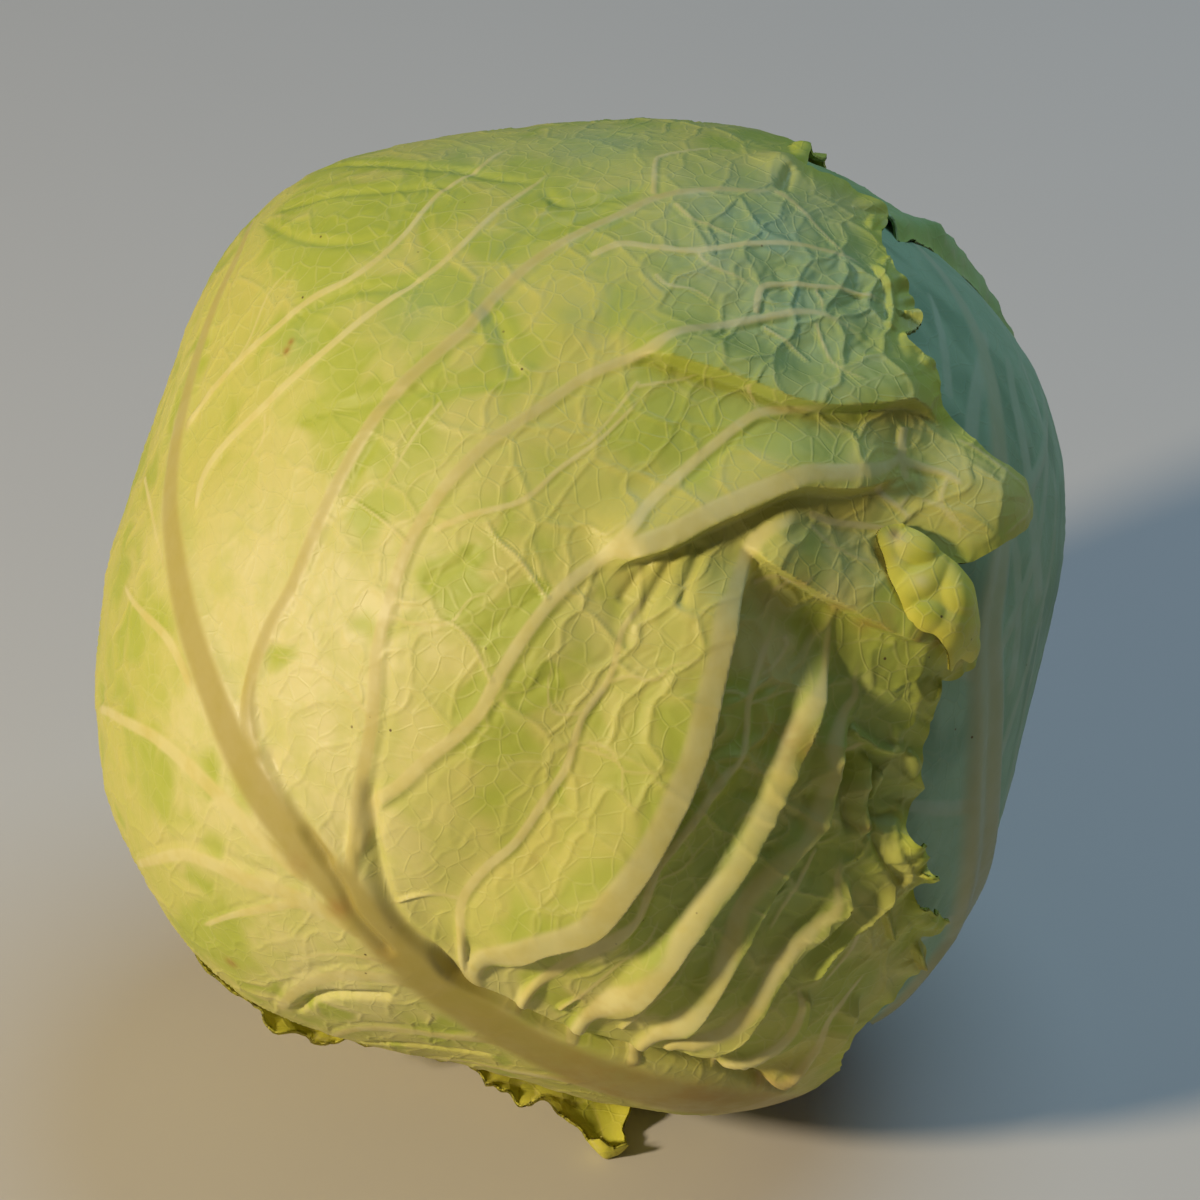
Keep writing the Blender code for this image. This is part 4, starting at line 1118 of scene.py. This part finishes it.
        (2.6, 1.4, 1.6, -1.4, [(861, 748), (857, 775), (854, 800), (857, 820), (862, 838)]),
        (2.0, 1.4, 1.4, -0.8, [(873, 765), (868, 782), (863, 802)]),
        (1.8, 1.6, 1.6, 0.3, [(843, 722), (862, 737), (880, 748), (905, 745)]),
        (2.6, 2.2, 1.4, 1.2, [(800, 985), (826, 950), (850, 924), (874, 905), (900, 886)]),
        (2.2, 1.6, 1.6, 0.8, [(884, 905), (890, 922), (894, 938)]),
        (2.0, 1.6, 1.6, 0.6, [(915, 942), (918, 955), (924, 964)]),
        (1.2, 1.8, 1.4, 0.4, [(872, 262), (886, 288), (892, 315), (888, 332)]),
    ],
    "groovesPx": [
        (1.7, 1.5, [(368, 770), (370, 810), (373, 850), (384, 890), (406, 925), (449, 961), (470, 982)]),
        (1.0, 1.1, [(300, 821), (341, 880), (358, 913), (399, 954)]),
        (2.8, 1.1, [(425, 936), (456, 974), (509, 1000), (563, 1028), (649, 1053), (724, 1068), (777, 1082),
                   (800, 1084)]),
        (1.6, 1.2, [(400, 992), (350, 991), (315, 996), (294, 1012)]),
        (1.4, 1.2, [(500, 1052), (440, 1046), (390, 1042), (350, 1044)]),
        (0.9, 1.4, [(262, 745), (300, 812), (338, 868)]),
        (0.8, 1.0, [(680, 545), (668, 566), (652, 592), (634, 624)]),
        (0.8, 1.0, [(700, 540), (694, 562), (682, 590), (676, 612)]),
        (0.7, 1.0, [(650, 558), (636, 578), (618, 604)]),
        (1.6, 1.0, [(850, 745), (846, 780), (845, 812), (850, 835)]),
        (1.4, 1.1, [(866, 812), (882, 818), (900, 812)]),
        (1.0, 1.4, [(792, 166), (786, 180), (780, 192)]),
        (1.6, 1.0, [(868, 818), (876, 838), (888, 862), (905, 888)]),
    ],
    "creasesPx": [
        (0.5, 1.3, [(300, 172), (337, 166), (400, 164), (461, 170), (505, 179), (560, 187)]),
        (0.5, 1.4, [(262, 222), (292, 207), (337, 195), (380, 190), (433, 186), (470, 190)]),
        (0.5, 1.3, [(262, 222), (285, 234), (315, 242), (354, 242), (400, 231)]),
        (0.6, 1.3, [(300, 322), (326, 301), (354, 290), (393, 287), (431, 276)]),
        (0.5, 1.3, [(280, 440), (298, 421), (330, 412), (360, 407), (433, 390), (486, 382), (528, 382)]),
        (0.6, 1.4, [(540, 187), (560, 205), (600, 202), (650, 190)]),
        (0.5, 1.4, [(480, 300), (500, 330), (512, 368), (528, 384)]),
        (0.5, 1.4, [(495, 262), (530, 235), (575, 224), (620, 205)]),
        (0.4, 1.3, [(298, 345), (304, 330), (300, 312)]),
        (0.4, 1.2, [(420, 590), (438, 575), (466, 560), (480, 540)]),
        (0.4, 1.3, [(470, 640), (500, 625), (530, 600), (560, 585)]),
        (0.4, 1.3, [(505, 700), (530, 690), (562, 668)]),
    ],
    "swellsPx": [
        ((1016, 508), 68, 9.6), ((955, 618), 55, 6.5), ((905, 700), 45, 2.0), ((915, 880), 50, 4.0),
        ((880, 380), 60, 2.0), ((780, 440), 60, 1.5), ((620, 300), 90, 1.2), ((500, 620), 110, 1.0),
        ((810, 820), 95, -2.8), ((735, 930), 80, -2.8), ((795, 665), 60, -0.4), ((820, 580), 40, -1.0),
        ((785, 156), 26, 2.4), ((560, 330), 26, 1.0), ((455, 300), 30, 0.8), ((470, 235), 40, 0.8),
    ],
    "domesPx": [
        ((988, 488), (30, 17, 44), 1.8), ((893, 772), (8, 15, 12), 1.8), ((888, 797), (17, 14, 0), 1.2),
        ((863, 829), (9, 9, 0), 2.0), ((878, 842), (8, 9, 30), 1.6), ((886, 855), (8, 8, 0), 1.5),
        ((896, 868), (8, 9, 0), 1.6), ((913, 850), (13, 32, -14), 2.2), ((926, 918), (17, 15, 0), 2.4),
        ((918, 950), (8, 14, -20), 1.8), ((905, 925), (9, 16, 10), 1.4), ((894, 735), (8, 12, 20), 1.4),
        ((908, 335), (10, 7, 0), 1.4), ((870, 225), (7, 10, 0), 1.2), ((925, 364), (10, 7, 30), 1.2),
        ((800, 152), (12, 9, 0), 1.2), ((905, 760), (7, 14, 0), 1.4),
    ],
    "oliveRibs": {1: 0.60, 15: 0.45},
    "ribWidth": 0.66,
    "ribScale": 0.80,
    "ribSkirt": 0.24,
    "ribFoot": 0.16,
    "spineTone": (1.0, 0.95, 0.75, 0.35),
    "net": {"size": 11.0, "fineSize": 4.2, "width": 0.50, "height": 0.14, "unevenness": 0.8,
            "quiltShare": 0.34, "fineHeight": 0.03, "warp": 4.2, "seed": 5, "stretch": (1.35, 0.85, 52.0)},
    "netTint": 0.26,
    "quilt": 0.10,
    "quiltSpotsPx": [
        ((870, 310), 100, 0.5), ((800, 800), 160, 0.65), ((930, 480), 60, 0.25), ((880, 900), 90, 0.5),
        ((720, 270), 100, 0.22), ((640, 640), 70, 0.20),
    ],
    "waves": [(42.0, 0.8, 51), (17.0, 0.32, 52), (7.0, 0.10, 53)],
    "ruffle": {"height": 0.8, "reach": 15.0, "bias": 0.45,
               "spotsPx": [((930, 740), 190, 1.4), ((880, 250), 130, 1.1), ((900, 930), 120, 0.9)],
               "calmPx": [((1015, 512), 48, 1.0)]},
    "calmRoot": 45 * mm,
    # Painted shade on the ribs of the shaded lower right and near the stalk
    "veinShadePx": [((790, 830), 130, 0.42), ((710, 990), 80, 0.30)],
    # Greener patches; the spots in the lower right and under the flap paint shade, and some spots below 0
    # paint light
    "greenShadeAndLightPx": [
        ((600, 660), 60, -0.35), ((775, 640), 45, -0.3), ((722, 905), 55, 0.7), ((800, 880), 60, 0.6),
        ((670, 990), 45, 0.5), ((690, 830), 45, 0.5), ((447, 290), 20, 0.7), ((545, 197), 18, 0.6),
        ((385, 200), 28, 0.6), ((503, 368), 15, 0.8),
        ((440, 290), 35, 0.45), ((330, 340), 30, 0.3), ((590, 470), 50, 0.3), ((470, 600), 45, 0.3),
        ((560, 830), 60, 0.3), ((640, 760), 60, 0.3), ((400, 200), 70, 0.6), ((300, 235), 45, 0.4),
        ((545, 175), 45, 0.45), ((520, 365), 30, 0.5), ((850, 330), 90, 0.3), ((490, 255), 30, 0.5),
        ((300, 700), 150, -0.4), ((250, 520), 110, -0.3), ((420, 900), 120, -0.2), ((610, 230), 45, 0.4),
        ((880, 655), 45, 0.6), ((450, 780), 60, 0.25), ((120, 560), 50, 0.5), ((200, 930), 60, 0.35),
        ((350, 440), 50, 0.25), ((970, 500), 70, -0.8), ((700, 420), 60, 0.2),
    ],
    # Cream spots; those at the middle right, below the fold and on the lobe paint light
    "creamAndLightPx": [
        ((300, 680), 120, 0.9), ((360, 850), 90, 0.6), ((240, 560), 80, 0.6), ((230, 820), 120, 0.6),
        ((330, 990), 110, 0.8), ((620, 980), 90, 0.45), ((200, 720), 70, 0.5), ((430, 450), 70, 0.3),
        ((180, 400), 60, 0.4), ((490, 990), 60, 0.5), ((985, 500), 45, 0.45),
        ((775, 640), 45, 0.5), ((820, 560), 35, 0.5), ((590, 650), 60, 0.35),
        ((310, 450), 100, 0.4), ((160, 560), 70, 0.4), ((390, 600), 90, 0.45), ((330, 270), 60, 0.2),
    ],
    # Bluish bloom, and painted sky-lit shade at the top and in the shaded lower right
    "bloomAndSkyShadePx": [
        ((760, 235), 105, 0.85), ((600, 142), 80, 0.65), ((470, 150), 60, 0.35), ((860, 300), 80, 0.45),
        ((420, 310), 40, 0.35), ((800, 360), 60, 0.4), ((300, 345), 25, 0.3),
        ((850, 700), 70, 0.25), ((890, 790), 40, 0.4), ((760, 900), 90, 0.35),
    ],
    # Stains; the four wide spots at the bottom, by the midrib's foot, also paint shade
    "stainAndShadePx": [
        ((786, 742), 20, 0.55), ((340, 905), 13, 0.6), ((868, 618), 14, 0.6), ((895, 628), 12, 0.7),
        ((922, 638), 12, 0.7), ((840, 600), 12, 0.45), ((800, 575), 10, 0.35), ((886, 536), 9, 0.5),
        ((922, 960), 10, 0.8), ((288, 352), 5, 0.9), ((292, 343), 4, 0.9), ((600, 1000), 60, 0.25),
        ((600, 1075), 70, 0.40), ((700, 1090), 55, 0.50), ((775, 1080), 40, 0.60), ((232, 962), 9, 0.7),
        ((862, 828), 5, 0.6), ((380, 950), 20, 0.3), ((300, 862), 12, 0.35), ((535, 855), 5, 0.6),
    ],
    "edgeBand": 4.5,
    "nicks": 0.3,
}


# Spots given by a pixel and a radius in pixels, as places on a board
def pxSpots(board, rows):
    return [(board.fromPx([spot])[0], radius * pxSize, amount) for spot, radius, amount in rows]


# Turns the pixel lists of a leaf's dictionary into places on its board
def drawnLook(board, look):
    drawn = dict(look)
    drawn["swells"] = [
        (board.fromPx([spot], height * mm - look["level"])[0], radius * pxSize, height * mm)
        for spot, radius, height in look.get("swellsPx", [])]
    drawn["swells"] += [
        (board.fromTurns([spot])[0], radius * mm, height * mm)
        for spot, radius, height in look.get("swellTurns", [])]
    for key in ("ribs", "folds", "grooves", "creases"):
        drawn[key] = [
            (*row[:-1], onSwells(board, row[-1], drawn["swells"], look["level"]))
            for row in look.get(key + "Px", [])]
    drawn["folds"] += [(*row[:-1], board.fromTurns(row[-1])) for row in look.get("foldTurns", [])]
    for key in ("quiltSpots", "greenShadeAndLight", "creamAndLight", "bloomAndSkyShade", "stainAndShade", "veinShade"):
        drawn[key] = pxSpots(board, look.get(key + "Px", []))
    ruffle = look["ruffle"]
    drawn["ruffle"] = dict(ruffle, spots=pxSpots(board, ruffle.get("spotsPx", [])),
                           calm=pxSpots(board, ruffle.get("calmPx", [])))
    return drawn


def makeFrontLeaf():
    board = Board(toCamera, frontLeaf["spans"])
    look = drawnLook(board, frontLeaf)
    spine = board.fromPx(frontLeaf["midrib"][2])
    root, base = stalkEnd(board, spine[0])
    seen = onSwells(board, frontLeaf["marginPx"], look["swells"], frontLeaf["level"])
    outline = np.vstack([base[:1], seen, board.fromTurns(frontLeaf["hiddenMargin"]), base[1:]])
    look["ribs"] = [(*frontLeaf["midrib"][:2], np.vstack([root, spine]))] + look["ribs"]
    look["ruffle"]["calm"].append((root, frontLeaf["calmRoot"], 1.0))
    weaveLeaf("frontLeaf", board, outline, look, palePaint, "leaf_front", frontLeaf["cuts"])


makeFrontLeaf()

# Curled-back lobe of the front leaf's margin, its blistered face outwards
curlLobe = {
    "level": -2.4 * mm,
    "swellsPx": [
        ((1016, 508), 74, 7.0), ((955, 618), 55, 6.5), ((905, 700), 45, 2.0), ((900, 522), 26, -1.0),
    ],
    "thickness": 0.8,
    "liningBand": 30.0,
    "spans": {"x": (50.0, [(100.0, 0.34)]), "y": (-20.0, [(30.0, 0.34)])},
    "outlinePx": [
        (903, 524), (890, 526), (881, 533), (884, 550), (889, 566), (896, 583), (900, 600), (909, 621),
        (922, 630), (934, 635), (943, 648), (950, 672), (956, 659), (963, 662), (968, 663), (976, 650),
        (975, 620), (971, 592), (961, 570), (950, 556), (930, 540), (916, 530),
    ],
    "domesPx": [
        ((893, 545), (24, 19, -42), 1.3), ((926, 577), (40, 20, -38), 2.0), ((903, 600), (18, 16, -30), 1.2),
        ((924, 618), (25, 21, 0), 1.8), ((960, 592), (20, 37, -12), 2.0), ((954, 632), (29, 24, -30), 1.7),
        ((945, 657), (14, 22, 0), 1.3), ((967, 652), (16, 20, 0), 1.4), ((918, 546), (24, 18, 20), 1.5),
    ],
    "net": {"size": 8.0, "fineSize": 3.0, "width": 0.5, "height": 0.0, "unevenness": 0.0,
            "quiltShare": 0.0, "fineHeight": 0.0, "warp": 0.6, "seed": 17},
    "netTint": 0.0,
    "quilt": 0.0,
    "waves": [(12.0, 0.4, 61), (4.0, 0.12, 62)],
    "ruffle": {"height": 0.3, "reach": 4.0, "bias": -1.6},
    "edgeBand": 1.2,
    "nicks": 0.25,
    "creamAndLightPx": [((886, 540), 9, 0.9), ((888, 560), 7, 0.8), ((896, 583), 7, 0.7), ((909, 618), 8, 0.6)],
    "greenShadeAndLightPx": [((968, 610), 18, 0.9), ((972, 640), 14, 0.7)],
    "stainAndShadePx": [((886, 536), 6, 0.7), ((968, 660), 5, 0.5)],
}


def makeCurlLobe():
    board = Board(toCamera, curlLobe["spans"])
    look = drawnLook(board, curlLobe)
    outline = onSwells(board, curlLobe["outlinePx"], look["swells"], curlLobe["level"])
    weaveLeaf("frontLeafCurl", board, outline, look, yellowPaint, "leaf_front")


makeCurlLobe()


# Leaves drawn in turns: pairs of degrees round the view axis and away from it. What shows of their midrib
# and ribs is in pixels. Ridges are offset, width and height across the midrib in mm; sideRibs are their
# reach, pairs, height and width; stalkCorners says which corner of the stalk the margin starts from
def makeTurnedLeaf(name, leaf, paint, node):
    board = Board(fromView(*map(np.array, leaf["middle"])), leaf["spans"])
    look = drawnLook(board, leaf)
    rest = board.fromTurns(leaf["midribTurns"])
    if "midribPx" in leaf:
        rest = np.vstack([board.fromPx(leaf["midribPx"], -leaf["level"]), rest])
    root, corners = stalkEnd(board, rest[0])
    spine = np.vstack([root, rest])
    first, last = leaf["stalkCorners"]
    outline = np.vstack([corners[first], board.fromTurns(leaf["margin"]), corners[last]])
    look["ribs"] = [(*leaf["midrib"], spine)] + look["ribs"] + sideRibs(spine, *leaf["sideRibs"])
    even = smoothLine(spine, 2 * mm)
    run = unit(np.gradient(even, axis=0))
    across = np.stack([-run[:, 1], run[:, 0]], axis=-1)
    look["ridges"] = [(even + offset * mm * across, width, height)
                      for offset, width, height in leaf.get("ridges", [])]
    look["ruffle"]["calm"] = [(root, leaf["calmRoot"], 1.0)]
    weaveLeaf(name, board, outline, look, paint, node)


# Right leaf: grey-green, smooth, its broad ridged midrib upright on the right
rightLeaf = {
    "level": levels["right"],
    "thickness": 0.9,
    "liningBand": 7.0,
    "spans": {"x": (-100.0, [(100.0, 1.15)]), "y": (-100.0, [(100.0, 1.15)])},
    "middle": (6, 84),
    "stalkCorners": (0, 1),
    "midribPx": [(935, 985), (962, 930), (974, 860), (980, 790), (984, 716), (984, 640), (996, 564)],
    "midribTurns": [(22, 60), (36, 69), (48, 78)],
    "margin": [
        (309, 124), (324, 132), (342, 136), (0, 136), (17, 131), (32, 121), (46, 109), (58, 98), (66, 86),
        (66, 70), (59, 56), (44, 44), (24, 34), (0, 30), (338, 31), (322, 38), (310, 49), (302, 62),
        (297, 74), (294, 86),
    ],
    "midrib": ((22.0, 24.0, 23.0, 20.0, 15.0, 9.0, 6.0, 4.0), (2.8, 2.6, 2.0, 0.8)),
    "spineTone": (1.0, 0.9, 0.45, 0.15),
    "ridges": ((-7.0, 4.5, 0.9), (-1.0, 3.6, -0.7), (4.5, 4.5, 0.8)),
    "ribsPx": [
        ((5.0, 3.0), (0.9, 0.5), [(968, 470), (972, 420), (980, 370), (985, 325)]),
        ((6.0, 3.5), (1.1, 0.5), [(1040, 610), (1037, 540), (1029, 470), (1016, 400), (1003, 340)]),
        ((5.0, 3.0), (0.9, 0.5), [
            (1008, 700), (1018, 640), (1020, 580), (1012, 520), (1002, 450), (994, 390)]),
        ((3.0, 2.0), (0.6, 0.4), [(948, 400), (946, 360), (938, 320), (925, 285)]),
    ],
    "sideRibs": (60 * mm, 5, 0.7, 4.5),
    "ribSkirt": 0.15,
    "net": {"size": 13.0, "fineSize": 5.0, "width": 0.8, "height": 0.10, "unevenness": 0.6,
            "quiltShare": 0.2, "fineHeight": 0.03, "warp": 3.0, "seed": 7, "stretch": (0.7, 1.6, 0.0)},
    "netTint": 0.25,
    "quilt": 0.12,
    "waves": [(30.0, 0.5, 71), (12.0, 0.2, 72)],
    "ruffle": {"height": 0.3, "reach": 10.0, "bias": 0.0},
    "calmRoot": 45 * mm,
    "edgeBand": 3.0,
    "nicks": 0.4,
}


makeTurnedLeaf("rightLeaf", rightLeaf, greyPaint, "leaf_right")

# Back leaf: darker, its curled rim shows at the top right
backLeaf = {
    "level": levels["back"],
    "thickness": 0.9,
    "liningBand": 7.0,
    "spans": {"x": (-135.0, [(135.0, 1.3)]), "y": (-150.0, [(60.0, 1.4), (110.0, 0.9)])},
    "middle": (95, 150),
    "stalkCorners": (1, 0),
    "midribTurns": [(294, 132), (288, 158), (110, 168), (98, 145), (92, 122), (88, 100)],
    "margin": [
        (312, 119), (325, 122), (342, 121), (358, 117), (14, 111), (28, 102), (37, 93), (43, 88), (47, 81),
        (50, 75), (53, 69), (57, 63), (63, 58), (70, 57), (78, 62), (88, 74), (102, 84), (118, 96),
        (136, 107), (155, 116), (172, 125), (188, 132), (204, 137), (221, 139), (240, 138), (259, 134),
        (276, 127), (285, 120),
    ],
    "foldTurns": [
        (2.4, 6.0, 4.0, 0.0, [(24, 107), (37, 99), (44, 93), (48, 87), (51, 82)]),
    ],
    "tuck": 2.4,
    "midrib": ((13.0, 5.0), (2.8, 0.4)),
    "sideRibs": (65 * mm, 6, 1.0, 4.6),
    "ribSkirt": 0.2,
    "net": {"size": 11.0, "fineSize": 4.4, "width": 0.7, "height": 0.14, "unevenness": 0.6,
            "quiltShare": 0.3, "fineHeight": 0.05, "warp": 3.0, "seed": 9},
    "netTint": 0.40,
    "quilt": 0.35,
    "waves": [(34.0, 0.4, 81), (13.0, 0.2, 82)],
    "ruffle": {"height": 0.45, "reach": 10.0, "bias": 0.3},
    "calmRoot": 45 * mm,
    "edgeBand": 5.0,
    "nicks": 0.7,
}


makeTurnedLeaf("backLeaf", backLeaf, darkPaint, "leaf_back")

# Under leaf: the outermost, below the head, only its torn yellow-green rim shows from the front
underLeaf = {
    "level": levels["under"],
    "thickness": 0.9,
    "liningBand": 7.0,
    "spans": {"x": (-75.0, [(85.0, 0.9)]), "y": (-75.0, [(80.0, 0.9)])},
    "middle": (240, 124),
    "stalkCorners": (0, 1),
    "swellTurns": [((273, 93), 6, 10.0), ((264, 94), 9, 4.0), ((234, 95), 10, 2.5)],
    "midribTurns": [(283, 121), (268, 129), (250, 131), (232, 127), (217, 119), (206, 112)],
    "margin": [
        (291, 112), (287, 106), (283, 102), (280, 100), (277, 99), (275, 96), (274, 90), (273, 84),
        (272, 90),
        (270, 94), (267, 93), (264, 96), (261, 95), (256, 98), (250, 102), (243, 100), (239, 97), (236, 98),
        (233, 95), (229, 98), (224, 97), (217, 101), (207, 103),
        (199, 107), (195, 115), (198, 125), (207, 135), (222, 146), (245, 153), (270, 150), (288, 138),
        (294, 128),
    ],
    "midrib": ((12.0, 5.0), (2.4, 0.8)),
    "sideRibs": (38 * mm, 4, 1.0, 4.0),
    "ribSkirt": 0.2,
    "net": {"size": 9.0, "fineSize": 4.0, "width": 0.7, "height": 0.16, "unevenness": 0.6,
            "quiltShare": 0.3, "fineHeight": 0.05, "warp": 2.4, "seed": 13},
    "netTint": 0.40,
    "quilt": 0.3,
    "waves": [(20.0, 0.4, 91), (9.0, 0.2, 92)],
    "ruffle": {"height": 1.2, "reach": 10.0, "bias": 0.4},
    "calmRoot": 30 * mm,
    "edgeBand": 5.0,
    "nicks": 1.2,
}


makeTurnedLeaf("underLeaf", underLeaf, yellowPaint, "leaf_under")
print("leaves laid")


# Plain finish: two tones in soft clouds, a little relief
def plainMaterial(name, first, second, scale, roughness):
    p = Paint(name)
    spots = p.noise(scale, 6.0, 0.5)
    p.join(p.mix(p.ramp(spots, 0.35, 0.65), first, second), p.shader.inputs["Base Color"])
    p.join(p.ramp(spots, 0.3, 0.7, roughness - 0.08, roughness + 0.08), p.shader.inputs["Roughness"])
    p.bump(spots, 0.4, 0.5 * mm)
    return p.material


# Closed heart and cut stem keep their solids and get a finish of their own
solidPaints = {
    "heart": plainMaterial("heartLeaf", (0.66, 0.68, 0.36), (0.52, 0.60, 0.22), 60.0, 0.45),
    "stem": plainMaterial("cutStem", (0.62, 0.58, 0.36), (0.45, 0.38, 0.20), 180.0, 0.60),
}
for node, paint in solidPaints.items():
    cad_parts[node].data.materials.clear()
    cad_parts[node].data.materials.append(paint)

# Studio: floor, lights and camera
studio = {
    "floorSize": 6.0,
    "floorGap": 0.2 * mm,
    "floorColour": (0.60, 0.56, 0.515),
    "key": {"turn": -56.0, "rise": 25.0, "distance": 1.7, "size": 0.22, "power": 29.5,
            "colour": (1.0, 0.84, 0.60)},
    "sky": {"turn": 130.0, "rise": 66.0, "distance": 1.6, "size": 1.2, "power": 12.0,
            "colour": (0.46, 0.72, 1.0)},
    "worldColour": (0.85, 0.90, 1.0),
    "worldStrength": 0.07,
    "sensorWidth": 36.0,
}


def addFloor():
    half = 0.5 * studio["floorSize"]
    mesh = bpy.data.meshes.new("floor")
    mesh.from_pydata([(-half, -half, 0), (half, -half, 0), (half, half, 0), (-half, half, 0)], [],
                     [(0, 1, 2, 3)])
    floor = bpy.data.objects.new("floor", mesh)
    bpy.context.collection.objects.link(floor)
    floor.location.z = -studio["floorGap"]
    colour = studio["floorColour"]
    mesh.materials.append(plainMaterial("floorPaint", colour, tuple(0.97 * c for c in colour), 3.0, 0.8))


# An area light at a turn from the camera (right is plus) and a rise above the floor
def addLight(name, look):
    turn = math.radians(look["turn"])
    rise = math.radians(look["rise"])
    way = np.array([math.sin(turn) * math.cos(rise), -math.cos(turn) * math.cos(rise), math.sin(rise)])
    data = bpy.data.lights.new(name, "AREA")
    data.shape = "DISK"
    data.size = look["size"]
    data.energy = look["power"]
    data.color = look["colour"]
    light = bpy.data.objects.new(name, data)
    light.location = tuple(centre + look["distance"] * way)
    bpy.context.collection.objects.link(light)
    aimAt(light, centre)


# Turns an object so that its -Z points at a spot, its X level
def aimAt(thing, spot):
    back = unit(np.array(thing.location) - spot)
    right = unit(np.cross((0.0, 0.0, 1.0), back))
    up = np.cross(back, right)
    rows = [[right[i], up[i], back[i], thing.location[i]] for i in range(3)] + [[0, 0, 0, 1]]
    thing.matrix_world = Matrix([[float(value) for value in row] for row in rows])


def addCamera():
    data = bpy.data.cameras.new("camera")
    data.sensor_width = studio["sensorWidth"]
    data.lens = data.sensor_width * head["distance"] / (2 * head["framePx"][0] * pxSize)
    camera = bpy.data.objects.new("camera", data)
    camera.location = tuple(centre + aim + head["distance"] * toCamera)
    bpy.context.collection.objects.link(camera)
    aimAt(camera, centre + aim)
    bpy.context.scene.camera = camera


def addWorld():
    world = bpy.data.worlds.new("studio")
    world.use_nodes = True
    background = world.node_tree.nodes["Background"]
    background.inputs["Color"].default_value = (*studio["worldColour"], 1.0)
    background.inputs["Strength"].default_value = studio["worldStrength"]
    bpy.context.scene.world = world


addFloor()
addLight("keyLight", studio["key"])
addLight("skyLight", studio["sky"])
addWorld()
addCamera()
bpy.context.scene.view_settings.view_transform = "Standard"
print("studio ready")
